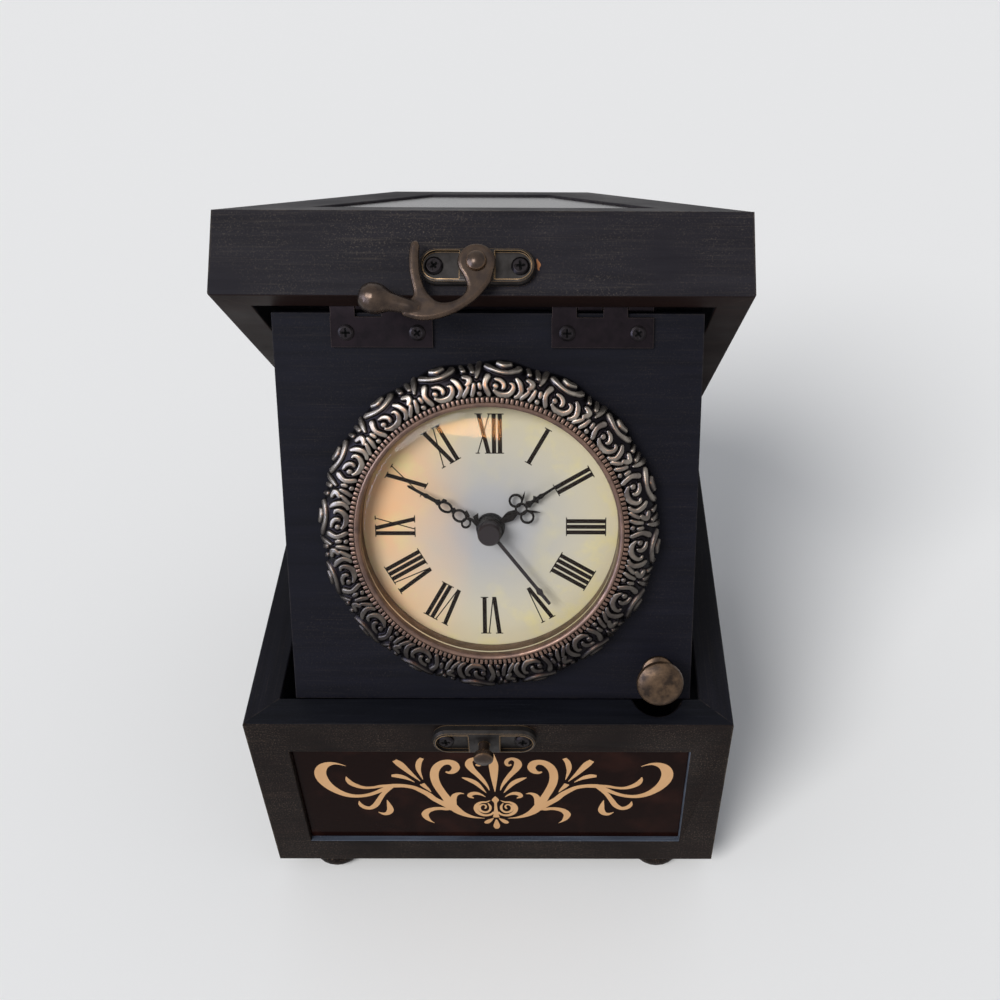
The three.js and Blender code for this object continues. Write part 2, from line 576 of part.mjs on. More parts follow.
// Hands: pierced scrolls cut from sheet, drawn up the page from the hub, and riveted to it
const loop = (x, y, radiusX, radiusY, width, from = 0, to = 360) => {
  const turns = 18;
  const steps = Math.max(6, Math.round(turns * (to - from) / 360));
  const rim = (inset) => Array.from({ length: steps + 1 }, (unused, i) => {
    const angle = radians(from + (to - from) * i / steps);
    return [x + (radiusX - inset) * Math.cos(angle), y + (radiusY - inset) * Math.sin(angle)];
  });
  const outer = rim(0);
  const inner = rim(width).reverse();
  if (to - from < 360) return prism(outline([...outer, ...inner]), handThickness);
  const ring = outline(outer.slice(0, -1));
  ring.holes.push(new THREE.Path(inner.slice(0, -1).map(([px, py]) => new THREE.Vector2(px, py))));
  return prism(ring, handThickness);
};
const mirrored = (points) => [...points, ...points.slice(0, -1).reverse().map(([x, y]) => [-x, y])];
const spear = (points) => prism(outline(mirrored(points)), handThickness);
const thorn = (points) => prism(outline(points), handThickness);
const disc = (radius, height) => turned([[0, 0], [radius, 0], [radius, height * 0.8], [radius * 0.86, height],
  [0, height]], 24);
const hubHeight = 1.1;
const hourLevel = bushingTop + running;
const minuteLevel = hourLevel + hubHeight + running;
const secondLevel = minuteLevel + hubHeight + running;
const handPlace = (name, geometry, level, angle) => {
  const mesh = place(clock, name, geometry, handMetal);
  mesh.position.z = level;
  mesh.rotation.z = -radians(angle);
};
const hourHand = () => {
  const wings = [-1, 1].map((side) => [
    loop(side * 3, 11.2, 2.15, 2.15, 0.65),
    thorn([[side * 1.5, 12.6], [side * 2.5, 12.7], [side * 4, 15.2], [side * 2.6, 14]]),
  ]).flat();
  const blade = spear([[1, 0], [0.8, 4.6], [1.35, 6.2], [1.5, 7.4], [0.8, 9.4], [0.4, 9.8]]);
  const tip = spear([[0.5, 12.6], [1.1, 13.6], [0.5, 14.8], [0.5, 15.6], [1.4, 16.3], [0.5, 17], [0.75, 18.2], [0.4, 19.2],
    [0.28, hourHandLength - 1], [0, hourHandLength]]);
  return join(blade, tip, disc(4, hubHeight), loop(0, 11.1, 1.95, 1.9, 0.6), ...wings);
};
const minuteHand = () => {
  const scrolls = [
    loop(-1.5, 7.2, 1.7, 1.5, 0.6),
    thorn([[0, 4.6], [1, 4.4], [3, 5.6], [1.2, 6.4]]),
    thorn([[0.2, 7.6], [0.9, 7.2], [2.1, 8.9], [1.2, 9.2]]),
    loop(-0.5, 9.9, 2, 2.3, 0.65),
    loop(-0.2, 14.8, 1.7, 2.3, 0.65),
    thorn([[0.8, 15], [1.9, 15.4], [1.7, 16.6], [0.6, 16.8]]),
  ];
  const blade = spear([[0.9, 0], [0.75, 4.5], [0.5, 8]]);
  const waist = spear([[0.5, 11.6], [1, 12.4], [0.5, 13]]);
  const tip = spear([[0.5, 16.6], [0.95, 17.3], [0.5, 18.2], [0.5, 20.6], [0.7, 21.4], [0.4, 22.2],
    [0.36, minuteHandLength - 0.6], [0, minuteHandLength]]);
  return join(blade, waist, tip, disc(3.9, hubHeight), ...scrolls);
};
handPlace('hour_hand', hourHand(), hourLevel, hourAngle);
handPlace('minute_hand', minuteHand(), minuteLevel, minuteAngle);
const diamond = 23.8;
handPlace('second_hand', join(spear([[0.5, 0], [0.5, diamond - 1.3], [1, diamond], [0.5, diamond + 1.3],
  [0.45, secondHandLength - 0.2], [0, secondHandLength]]), disc(hubCapRadius, hubCapHeight)), secondLevel, secondAngle);

export default safe;
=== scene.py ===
import json
from math import pi, radians, sqrt

import bmesh
import bpy
import numpy as np
from mathutils import Matrix, Vector


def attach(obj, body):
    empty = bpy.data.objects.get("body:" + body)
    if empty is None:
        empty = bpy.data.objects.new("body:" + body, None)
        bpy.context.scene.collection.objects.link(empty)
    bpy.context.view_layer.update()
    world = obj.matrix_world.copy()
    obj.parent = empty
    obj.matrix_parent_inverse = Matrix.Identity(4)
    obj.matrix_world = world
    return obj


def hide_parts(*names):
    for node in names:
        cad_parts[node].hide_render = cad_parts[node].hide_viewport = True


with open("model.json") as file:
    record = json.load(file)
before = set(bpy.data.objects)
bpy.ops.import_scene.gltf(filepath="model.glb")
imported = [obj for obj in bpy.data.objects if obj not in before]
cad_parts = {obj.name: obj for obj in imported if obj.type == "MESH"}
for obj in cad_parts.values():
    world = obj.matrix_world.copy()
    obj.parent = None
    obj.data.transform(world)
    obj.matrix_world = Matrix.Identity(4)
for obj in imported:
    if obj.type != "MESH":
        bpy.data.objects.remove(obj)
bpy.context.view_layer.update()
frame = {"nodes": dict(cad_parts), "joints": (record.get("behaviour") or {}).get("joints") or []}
scene = bpy.context.scene


# Case walls
# Four boards of black-painted wood, mitred and glued at the corners, rubbed through a little at their edges.
# The front one is routed for the print.
MM = 0.001
WELD = 0.00001
BOARD_EDGE = 0.55


def linear(code):
    """An sRGB hex code as the linear colour that sockets take."""
    parts = [int(code[i : i + 2], 16) / 255 for i in (1, 3, 5)]
    return (*[c / 12.92 if c <= 0.04045 else ((c + 0.055) / 1.055) ** 2.4 for c in parts], 1.0)


def new_material(name):
    """A material whose node tree is still empty."""
    material = bpy.data.materials.new(name)
    material.use_nodes = True
    material.node_tree.nodes.clear()
    return material


def node(owner, kind, inputs=None, **settings):
    """Adds one node with its settings to a material or to the world.

    An input given as a socket is linked, and any other is set on the node's own socket.
    """
    made = owner.node_tree.nodes.new("ShaderNode" + kind)
    for key, value in settings.items():
        setattr(made, key, value)
    for key, value in (inputs or {}).items():
        if isinstance(value, bpy.types.NodeSocket):
            owner.node_tree.links.new(value, made.inputs[key])
        else:
            made.inputs[key].default_value = value
    return made


def edge_mask(material, radius):
    """1 where the surface turns within this radius, in metres, and 0 on the flat."""
    rounded = node(material, "Bevel", {"Radius": radius}, samples=6)
    flat = node(material, "NewGeometry")
    agree = node(
        material,
        "VectorMath",
        {0: rounded.outputs["Normal"], 1: flat.outputs["Normal"]},
        operation="DOT_PRODUCT",
    )
    turned = node(material, "Math", {0: 1.0, 1: agree.outputs["Value"]}, operation="SUBTRACT")
    return node(material, "MapRange", {"Value": turned.outputs[0], "From Min": 0.02, "From Max": 0.25}).outputs[0]


def black_wood(name, dark, light, turn=(0, 0, 0), rub="#5d534a", streaks=0.25, specks=0.2, wear=0.4):
    """Black satin paint over wood whose grain runs along X after the turn.

    The paint goes from dark to light in broad clouds. Streaks, specks and wear say how far it is rubbed through to
    the colour rub along the grain, in the pores and on the edges.
    """
    material = new_material(name)
    place = node(material, "TexCoord").outputs["Object"]
    # Broad, soft unevenness of the paint, drawn out along the grain
    grain_place = node(
        material,
        "Mapping",
        {"Vector": place, "Rotation": turn, "Scale": (0.045, 0.0035, 0.0035)},
        vector_type="TEXTURE",
    ).outputs[0]
    grain = node(material, "TexNoise", {"Vector": grain_place, "Scale": 1.0, "Detail": 4.0, "Roughness": 0.6})
    grain_mask = node(
        material, "MapRange", {"Value": grain.outputs[0], "From Min": 0.3, "From Max": 0.72}
    ).outputs[0]
    paint = node(
        material, "Mix", {0: grain_mask, 6: linear(dark), 7: linear(light)}, data_type="RGBA"
    ).outputs[2]
    # Hairline streaks where the paint is rubbed through, about half a millimetre wide
    streak_place = node(
        material,
        "Mapping",
        {"Vector": place, "Rotation": turn, "Scale": (0.02, 0.0005, 0.0005), "Location": (0.1, 0.2, 0.3)},
        vector_type="TEXTURE",
    ).outputs[0]
    streak_noise = node(
        material, "TexNoise", {"Vector": streak_place, "Scale": 1.0, "Detail": 2.0, "Roughness": 0.6}
    )
    streak = node(
        material, "MapRange", {"Value": streak_noise.outputs[0], "From Min": 0.55, "From Max": 0.78}
    ).outputs[0]
    cloud = node(material, "TexNoise", {"Vector": place, "Scale": 36.0, "Detail": 3.0, "Roughness": 0.6})
    patch = node(
        material, "MapRange", {"Value": cloud.outputs[0], "From Min": 0.32, "From Max": 0.62}
    ).outputs[0]
    streak_patch = node(material, "Math", {0: streak, 1: patch}, operation="MULTIPLY").outputs[0]
    streak_share = node(material, "Math", {0: streak_patch, 1: streaks}, operation="MULTIPLY").outputs[0]
    streaked = node(
        material, "Mix", {0: streak_share, 6: paint, 7: linear(rub)}, data_type="RGBA"
    ).outputs[2]
    # Specks of pale wood in the pores, a quarter of a millimetre across, thick in some patches and rare in others
    pore = node(material, "TexNoise", {"Vector": place, "Scale": 2100.0, "Detail": 2.0, "Roughness": 0.7})
    speck = node(
        material, "MapRange", {"Value": pore.outputs[0], "From Min": 0.55, "From Max": 0.75}
    ).outputs[0]
    speck_patch = node(material, "Math", {0: speck, 1: patch}, operation="MULTIPLY").outputs[0]
    speck_share = node(material, "Math", {0: speck_patch, 1: specks}, operation="MULTIPLY").outputs[0]
    specked = node(
        material, "Mix", {0: speck_share, 6: streaked, 7: linear(rub)}, data_type="RGBA"
    ).outputs[2]
    # The edges are rubbed through in broken lengths of a few millimetres
    edge = edge_mask(material, 0.0008)
    edge_break = node(material, "TexNoise", {"Vector": place, "Scale": 300.0, "Detail": 3.0, "Roughness": 0.6})
    broken = node(
        material, "MapRange", {"Value": edge_break.outputs[0], "From Min": 0.38, "From Max": 0.66}
    ).outputs[0]
    edge_wear = node(material, "Math", {0: edge, 1: broken}, operation="MULTIPLY").outputs[0]
    edge_share = node(material, "Math", {0: edge_wear, 1: wear}, operation="MULTIPLY").outputs[0]
    worn = node(
        material, "Mix", {0: edge_share, 6: specked, 7: linear("#665b50")}, data_type="RGBA"
    ).outputs[2]
    rough = node(
        material,
        "MapRange",
        {"Value": cloud.outputs[0], "From Min": 0.3, "From Max": 0.7, "To Min": 0.6, "To Max": 0.46},
    ).outputs[0]
    bump = node(material, "Bump", {"Height": pore.outputs[0], "Strength": 0.25, "Distance": 0.00008}).outputs[0]
    surface = node(
        material,
        "BsdfPrincipled",
        {"Base Color": worn, "Roughness": rough, "Normal": bump, "Specular IOR Level": 0.08},
    )
    node(material, "OutputMaterial", {"Surface": surface.outputs[0]})
    return material


def finish_piece(name, mesh, body, material, stands_for=(), crease=35.0, edge=0.0, segments=2):
    """Makes the mesh a shaded piece of this body, and rounds its weighted edges by edge, in millimetres."""
    mesh.materials.clear()
    mesh.materials.append(material)
    mesh.shade_smooth()
    mesh.set_sharp_from_angle(angle=radians(crease))
    made = bpy.data.objects.new(name, mesh)
    scene.collection.objects.link(made)
    if edge:
        rounding = made.modifiers.new("rounding", "BEVEL")
        rounding.width = edge * MM
        rounding.segments = segments
        rounding.limit_method = "WEIGHT"
        rounding.harden_normals = True
    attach(made, body)
    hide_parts(*stands_for)
    return made


def soften(name, source, body, material, edge=0.5, segments=2, crease=30.0, sharp=(), grow=0.0, melt=0.0):
    """A piece from a copy of the CAD node's mesh, its triangles joined up and its edges rounded.

    Faces that look along a direction in sharp keep their edges, and those along the first of these move out by
    grow, in millimetres. A casting is melted instead: drawn anew in small squares of melt millimetres, and smoothed.
    """
    shape = bmesh.new()
    shape.from_mesh(frame["nodes"][source].data)
    bmesh.ops.remove_doubles(shape, verts=shape.verts, dist=WELD)
    bmesh.ops.dissolve_limit(shape, angle_limit=radians(1.0), verts=shape.verts, edges=shape.edges)
    weight = shape.edges.layers.float.new("bevel_weight_edge")
    for line in shape.edges:
        sides = [face.normal for face in line.link_faces]
        plain = any(side.dot(way) > 0.995 for side in sides for way in sharp)
        line[weight] = float(len(sides) == 2 and sides[0].angle(sides[1]) > radians(crease) and not plain)
    if grow:
        ends = {vert for face in shape.faces if face.normal.dot(sharp[0]) > 0.995 for vert in face.verts}
        bmesh.ops.translate(shape, verts=list(ends), vec=Vector(sharp[0]) * grow * MM)
    mesh = bpy.data.meshes.new(name)
    shape.to_mesh(mesh)
    shape.free()
    piece = finish_piece(name, mesh, body, material, [source], crease, 0 if melt else edge, segments)
    if melt:
        casting = piece.modifiers.new("casting", "REMESH")
        casting.mode = "VOXEL"
        casting.voxel_size = melt * MM
        casting.use_smooth_shade = True
        smooth = piece.modifiers.new("smoothing", "SMOOTH")
        smooth.factor = 0.5
        smooth.iterations = 16
    return piece


def repaint(piece, material, chosen):
    """Gives the faces that chosen(normal, centre) picks another material."""
    piece.data.materials.append(material)
    for face in piece.data.polygons:
        if chosen(face.normal, face.center):
            face.material_index = len(piece.data.materials) - 1


along_y = (0, 0, pi / 2)
front_wood = black_wood("case_front_wood", "#0c0706", "#150d0b", rub="#7a6656", streaks=0.1, specks=0.6)
rim_wood = black_wood(
    "case_rim_wood", "#0b0c11", "#12131a", rub="#4c5058", streaks=0.1, specks=0.08, wear=0.05
)
side_wood = black_wood("case_side_wood", "#0f0f14", "#18181f", along_y, streaks=0.12, specks=0.1)
# Painted highlight: the routed ledges under the print and at its right are painted light grey-blue, where these faces
# catch the light
ledge_highlight_wood = black_wood("case_ledge_highlight_wood", "#343a45", "#565e6c", rub="#8a8f98", streaks=0.5, specks=0.4)
MITRES = [Vector((x, y, 0)) * sqrt(0.5) for x in (-1, 1) for y in (-1, 1)]
# In metres: faces above RIM_LEVEL are the rim's, and the window's lower and side ledges lie at the other two
RIM_LEVEL = 0.08
WINDOW_FLOOR = 0.0201
WINDOW_SIDE = 0.0627
front_board = soften(
    "case_front_board", "case_front_wall", "case", front_wood, BOARD_EDGE, sharp=MITRES
)
repaint(front_board, rim_wood, lambda normal, centre: normal.z > 0.9 and centre.z > RIM_LEVEL)
repaint(front_board, rim_wood, lambda normal, centre: normal.y > 0.9)
# Painted highlight on the window's lower and right ledges
repaint(front_board, ledge_highlight_wood, lambda normal, centre: normal.z > 0.9 and abs(centre.z - WINDOW_FLOOR) < MM)
repaint(front_board, ledge_highlight_wood, lambda normal, centre: normal.x < -0.9 and abs(centre.x - WINDOW_SIDE) < MM)
soften("case_rear_board", "case_rear_wall", "case", rim_wood, BOARD_EDGE, sharp=MITRES)
soften("case_left_board", "case_left_wall", "case", side_wood, BOARD_EDGE, sharp=MITRES)
soften("case_right_board", "case_right_wall", "case", side_wood, BOARD_EDGE, sharp=MITRES)


# Floor board
# A thin wooden board set between the walls and painted as they are.
soften("case_floor_board", "case_floor", "case", rim_wood, 0.3)


# Panel foot strip
# A painted wooden strip glued inside the front wall, on which the foot of the clock panel stands.
soften("foot_strip", "panel_foot_strip", "case", rim_wood, 0.3)


# Feet
# Four bun feet, turned from wood, painted black and glued under the case.
for place in ("front_left", "front_right", "rear_left", "rear_right"):
    soften(f"bun_{place}", f"foot_{place}", "case", front_wood, 0.25, 2, 40)


# Front print
# A glossy printed sheet glued in the routed window. Its ground is dark red-brown with faint blotches.
def print_sheet(name, ground, mark, roughness, gloss):
    """A glossy dark print with faint lighter blotches, 10 to 20 mm across. Gloss is how strongly it mirrors."""
    material = new_material(name)
    place = node(material, "TexCoord").outputs["Object"]
    cloud = node(material, "TexNoise", {"Vector": place, "Scale": 55.0, "Detail": 3.0, "Roughness": 0.55})
    blot = node(material, "MapRange", {"Value": cloud.outputs[0], "From Min": 0.5, "From Max": 0.78}).outputs[0]
    colour = node(material, "Mix", {0: blot, 6: linear(ground), 7: linear(mark)}, data_type="RGBA").outputs[2]
    surface = node(
        material, "BsdfPrincipled", {"Base Color": colour, "Roughness": roughness, "Specular IOR Level": gloss}
    )
    node(material, "OutputMaterial", {"Surface": surface.outputs[0]})
    return material


front_print = print_sheet("front_print", "#150806", "#29140f", 0.16, 0.03)
soften("front_sheet", "front_inlay", "case", front_print, 0)


# Front scroll
# The gold scroll printed on the front sheet, drawn as strokes of a broad pen. The right half is mirrored on the left.
SCROLL_MIDDLE = 0.00075
FRONT_FACE = -0.080017
# A frame on the front board, in millimetres: X to the right from the scroll's middle, Y up and Z out of the board
UPRIGHT = Matrix.Rotation(pi / 2, 4, "X") @ Matrix.Scale(MM, 4)
CASE_FRONT = Matrix.Translation((SCROLL_MIDDLE, FRONT_FACE, 0)) @ UPRIGHT
PRINT_LEVEL = -1.88
LAYER = 0.001
RIM_HEIGHT = 85.0


def smooth_line(points, steps=8):
    """A Catmull-Rom line through points of any dimension."""
    p = np.array(points, float)
    p = np.vstack([2 * p[0] - p[1], p, 2 * p[-1] - p[-2]])
    out = []
    for i in range(1, len(p) - 2):
        for t in np.linspace(0, 1, steps, endpoint=False):
            a = 2 * p[i]
            b = p[i + 1] - p[i - 1]
            c = 2 * p[i - 1] - 5 * p[i] + 4 * p[i + 1] - p[i + 2]
            d = 3 * (p[i] - p[i + 1]) + p[i + 2] - p[i - 1]
            out.append((a + b * t + c * t**2 + d * t**3) / 2)
    out.append(p[-2])
    return np.array(out)


def stroke(shape, points, level, mirror=1):
    """A flat pen stroke through (x, y, half width) points, added to a bmesh at this height.

    A mirror of -1 draws it on the other side of the middle.
    """
    line = smooth_line(points)
    across = np.gradient(line[:, :2], axis=0)
    across = np.stack([-across[:, 1], across[:, 0]], 1)
    across /= np.maximum(np.linalg.norm(across, axis=1, keepdims=True), 1e-9)
    half = np.maximum(line[:, 2:3], 0.02)
    left = line[:, :2] + across * half
    right = line[:, :2] - across * half
    rows = [
        (shape.verts.new((mirror * a[0], a[1], level)), shape.verts.new((mirror * b[0], b[1], level)))
        for a, b in zip(left, right)
    ]
    for (a, b), (c, d) in zip(rows, rows[1:]):
        shape.faces.new((a, b, d, c) if mirror > 0 else (c, d, b, a))


def to_mesh(name, shape, at):
    """The bmesh, drawn in millimetres in a local frame, as a mesh in the row frame."""
    bmesh.ops.recalc_face_normals(shape, faces=shape.faces)
    bmesh.ops.transform(shape, matrix=at, verts=shape.verts)
    mesh = bpy.data.meshes.new(name)
    shape.to_mesh(mesh)
    shape.free()
    return mesh


# Strokes of (x, y, half width) in millimetres, with y measured from the rim. The first ones lie on the middle line
MIDDLE_STROKES = [
    [(0, -17.6, 0.3), (0, -20.2, 0.9), (0, -23.5, 1.5), (0, -27.8, 1.3), (0, -32.8, 0.8), (0, -38.4, 0.1)],
    [(0, -41.0, 0.1), (0, -43.1, 1.2), (0, -44.8, 0.5), (0, -47.7, 0.5), (0, -50.1, 0.7), (0, -53.4, 1.1)],
    [(0, -54.6, 0.2), (0, -56.7, 0.8), (0, -58.8, 1.1), (0, -60.2, 0.5)],
]
SIDE_STROKES = [
    [(5.7, -23.3, 0.3), (4.7, -23.8, 0.5), (4.1, -22.6, 0.6), (4.5, -21.0, 0.7), (6.0, -20.2, 0.7),
     (7.5, -21.3, 1.0), (7.8, -23.6, 1.3), (6.8, -26.3, 1.1), (5.1, -29.2, 0.9), (3.6, -32.2, 0.7),
     (2.4, -35.2, 0.4), (1.8, -37.6, 0.1)],
    [(10.5, -30.4, 0.1), (9.3, -31.0, 0.6), (7.7, -32.0, 0.9), (6.0, -33.6, 0.9), (4.5, -36.0, 0.6),
     (2.9, -39.0, 0.1)],
    [(3.2, -41.4, 0.1), (4.5, -40.1, 0.4), (6.2, -39.3, 0.8), (7.8, -39.7, 0.9), (8.4, -41.0, 0.7),
     (7.1, -42.1, 0.2)],
    [(1.7, -43.4, 0.1), (3.1, -44.3, 0.4), (4.8, -44.5, 0.5), (6.2, -46.0, 0.7), (6.7, -48.4, 0.7),
     (5.8, -50.8, 0.7), (3.9, -52.1, 0.6), (1.9, -51.7, 0.5), (0.6, -50.1, 0.4)],
    [(2.5, -45.0, 0.2), (1.8, -47.0, 0.4), (2.1, -49.2, 0.4), (3.5, -50.3, 0.5), (5.1, -49.4, 0.5),
     (5.5, -47.4, 0.5), (4.7, -46.0, 0.4), (3.7, -45.9, 0.3), (3.2, -46.9, 0.3), (3.6, -48.2, 0.3)],
    [(0.9, -53.8, 0.1), (2.0, -55.0, 0.7), (3.2, -56.2, 0.9), (4.0, -56.7, 0.4)],
    [(15.5, -27.2, 0.3), (14.3, -27.7, 0.7), (12.9, -26.9, 1.1), (12.1, -24.9, 1.3), (12.8, -22.8, 1.4),
     (14.4, -22.0, 1.3), (16.3, -22.5, 1.3), (18.0, -24.4, 1.4), (19.0, -27.0, 1.4), (19.3, -30.2, 1.4),
     (18.9, -33.8, 1.4), (17.8, -37.6, 1.4), (16.4, -41.3, 1.4), (14.9, -45.4, 1.6), (13.2, -48.8, 1.6),
     (11.3, -51.0, 1.2), (9.0, -52.6, 0.8), (6.6, -53.5, 0.4), (3.9, -53.9, 0.1)],
    [(10.1, -39.6, 0.1), (11.6, -39.3, 0.5), (13.1, -40.3, 0.9), (13.9, -42.4, 1.1), (14.2, -45.6, 1.3)],
    [(14.9, -47.6, 0.9), (16.4, -48.4, 0.8), (18.3, -48.1, 0.8), (20.4, -48.3, 0.9), (22.6, -49.4, 1.1),
     (23.8, -51.5, 1.2), (23.3, -53.9, 0.9), (22.2, -55.6, 0.4), (21.0, -56.7, 0.1)],
    [(14.2, -48.2, 1.4), (17.0, -45.5, 1.2), (20.0, -42.7, 1.1), (22.0, -39.9, 1.1), (24.3, -37.7, 1.0),
     (26.5, -36.0, 0.9), (29.5, -35.1, 0.9), (32.4, -35.0, 1.0), (34.6, -35.3, 1.0)],
    [(33.6, -35.0, 0.8), (37.0, -35.3, 0.7), (39.6, -36.0, 0.6), (42.2, -36.2, 0.7), (44.5, -35.4, 0.9),
     (46.5, -33.8, 1.0), (47.5, -31.8, 0.7), (47.8, -30.0, 0.1)],
    [(33.6, -35.4, 0.8), (36.4, -37.1, 0.9), (38.6, -38.6, 0.8), (41.1, -40.0, 0.8), (43.7, -40.8, 0.8),
     (46.4, -40.9, 0.9), (49.0, -40.1, 1.1), (51.5, -38.3, 1.3), (53.9, -35.4, 1.6), (55.5, -31.8, 1.9),
     (55.9, -28.2, 1.9), (55.0, -25.2, 1.7), (53.2, -23.4, 1.2), (50.9, -22.8, 0.6), (49.0, -23.3, 0.3),
     (47.2, -24.2, 0.1)],
    [(33.4, -35.4, 0.7), (36.4, -39.2, 0.8), (38.2, -42.7, 0.9), (39.8, -46.0, 1.0), (41.7, -47.8, 0.9),
     (43.5, -47.5, 0.9), (44.8, -45.9, 0.7), (45.1, -43.8, 0.1)],
    [(35.8, -43.2, 0.1), (35.4, -45.9, 0.7), (35.2, -48.8, 1.1), (36.0, -50.7, 1.0), (37.5, -51.3, 0.7),
     (39.4, -50.2, 0.1)],
    [(22.6, -19.9, 0.7), (23.6, -21.8, 0.9), (24.1, -24.5, 0.9), (24.0, -27.2, 0.6), (23.1, -31.5, 0.1)],
    [(31.4, -21.1, 0.9), (29.9, -23.1, 1.3), (28.0, -26.2, 1.0), (26.1, -29.3, 0.6), (24.0, -32.5, 0.1)],
    [(33.1, -29.5, 0.6), (31.3, -29.5, 1.0), (29.4, -30.2, 0.9), (27.8, -31.3, 0.5), (25.9, -33.0, 0.1)],
    [(23.6, -33.9, 0.9), (22.9, -35.2, 0.8), (21.8, -36.9, 0.5), (20.9, -38.6, 0.1)],
]
# Gold ink: a flat tan with faint clouds and hardly any gloss
gold = new_material("scroll_gold")
gold_place = node(gold, "TexCoord").outputs["Object"]
gold_cloud = node(gold, "TexNoise", {"Vector": gold_place, "Scale": 90.0, "Detail": 3.0})
gold_colour = node(
    gold, "Mix", {0: gold_cloud.outputs[0], 6: linear("#b98b5c"), 7: linear("#cfa578")}, data_type="RGBA"
).outputs[2]
gold_surface = node(
    gold, "BsdfPrincipled", {"Base Color": gold_colour, "Roughness": 0.4, "Specular IOR Level": 0.2}
)
node(gold, "OutputMaterial", {"Surface": gold_surface.outputs[0]})
# Each stroke lies a little above the one before, so that no two share a level where they cross
scroll = bmesh.new()
strokes = [(line, 1) for line in MIDDLE_STROKES] + [(line, side) for line in SIDE_STROKES for side in (1, -1)]
for layer, (line, side) in enumerate(strokes):
    stroke(scroll, [(x, RIM_HEIGHT + y, w) for x, y, w in line], PRINT_LEVEL + layer * LAYER, side)
finish_piece("front_scroll", to_mesh("front_scroll", scroll, CASE_FRONT), "case", gold)


# Catch
# A small plate of stamped brass held by two screws on the case front, and the cast stud that the hook closes on.
# All are lacquered dark and rubbed back to the metal on their edges.
def aged_metal(name, dark, mid, bright, metallic=0.8, rough=0.42, edge=0.0006, rubbed=1.0):
    """Lacquered metal, dark in its hollows and rubbed bright on edges that turn within edge, in metres."""
    material = new_material(name)
    place = node(material, "TexCoord").outputs["Object"]
    cloud = node(material, "TexNoise", {"Vector": place, "Scale": 260.0, "Detail": 4.0, "Roughness": 0.6})
    cover = node(
        material, "MapRange", {"Value": cloud.outputs[0], "From Min": 0.35, "From Max": 0.65}
    ).outputs[0]
    ground = node(material, "Mix", {0: cover, 6: linear(dark), 7: linear(mid)}, data_type="RGBA").outputs[2]
    rub = edge_mask(material, edge)
    rub_share = node(material, "Math", {0: rub, 1: rubbed}, operation="MULTIPLY").outputs[0]
    colour = node(material, "Mix", {0: rub_share, 6: ground, 7: linear(bright)}, data_type="RGBA").outputs[2]
    shine = node(
        material,
        "MapRange",
        {
            "Value": cloud.outputs[0],
            "From Min": 0.3,
            "From Max": 0.7,
            "To Min": rough + 0.08,
            "To Max": rough - 0.08,
        },
    ).outputs[0]
    bump = node(material, "Bump", {"Height": cloud.outputs[0], "Strength": 0.12, "Distance": 0.0001}).outputs[0]
    surface = node(
        material,
        "BsdfPrincipled",
        {"Base Color": colour, "Roughness": shine, "Metallic": metallic, "Normal": bump},
    )
    node(material, "OutputMaterial", {"Surface": surface.outputs[0]})
    return material


def plain_material(name, code, roughness, gloss=0.5):
    """One colour all over, as in moulded plastic, ink or a coat of paint."""
    material = new_material(name)
    surface = node(
        material,
        "BsdfPrincipled",
        {"Base Color": linear(code), "Roughness": roughness, "Specular IOR Level": gloss},
    )
    node(material, "OutputMaterial", {"Surface": surface.outputs[0]})
    return material


plate_brass = aged_metal("antique_brass_plate", "#1f1c1b", "#33302f", "#b08f66", rubbed=0.75, edge=0.0005)
cast_brass = aged_metal(
    "antique_brass_cast", "#2c2421", "#493c33", "#a67d55", rough=0.3, edge=0.0016, rubbed=0.8
)
screw_metal = aged_metal(
    "blackened_screw", "#1a1719", "#2b2729", "#4a4440", metallic=0.92, rough=0.36, edge=0.0003, rubbed=0.4
)
# The shadow in the cross of a screw, which is deeper than it is drawn here
recess_black = plain_material("recess_black", "#050505", 0.8, 0.05)
CROSS_SIZE = (2.3, 0.55, 0.3)
CROSS_SINK = 0.12
soften("catch_base", "catch_plate", "case", plate_brass, 0.25)


def crossed_screw(name, source, body, at, turn):
    """A screw from its CAD node, with the shadowed cross of its head, turned by this many degrees."""
    soften(name, source, body, screw_metal, 0.1)
    flat = at.inverted()
    spots = np.array([flat @ vert.co for vert in frame["nodes"][source].data.vertices])
    middle = (spots.min(0) + spots.max(0)) / 2
    cross = bmesh.new()
    for way in (0, 90):
        place = (
            Matrix.Translation((middle[0], middle[1], spots[:, 2].max() - CROSS_SINK))
            @ Matrix.Rotation(radians(turn + way), 4, "Z")
            @ Matrix.Diagonal((*CROSS_SIZE, 1))
        )
        bmesh.ops.create_cube(cross, size=1, matrix=place)
    finish_piece(f"{name}_cross", to_mesh(f"{name}_cross", cross, at), body, recess_black)


crossed_screw("catch_left_screw", "catch_screw_left", "case", CASE_FRONT, 20)
crossed_screw("catch_right_screw", "catch_screw_right", "case", CASE_FRONT, 65)
soften("catch_button", "catch_stud", "case", cast_brass, 0.2, 3, 40)


# Lid rails
# Four boards of black-painted wood, mitred and glued round the lid. The front and rear ones are rubbed in long light
# streaks, and the undersides are browner.
JOINTS = {joint["name"]: joint for joint in frame["joints"]}
lid_angle = radians(JOINTS["lid_hinge"]["range_deg"][0])
lid_rest = Matrix.Rotation(lid_angle, 3, "X")
lid_up = lid_rest @ Vector((0, 0, 1))
lid_front_wood = black_wood(
    "lid_front_wood", "#18161b", "#242227", (lid_angle, 0, 0), rub="#625950", streaks=0.3, specks=0.6
)
lid_side_wood = black_wood("lid_side_wood", "#121217", "#1c1b20", along_y)
lid_edge_wood = black_wood("lid_edge_wood", "#160d0b", "#211411", rub="#3c2a20", streaks=0.3, wear=0.2)
LID_SHARP = [lid_up] + [lid_rest @ way for way in MITRES]
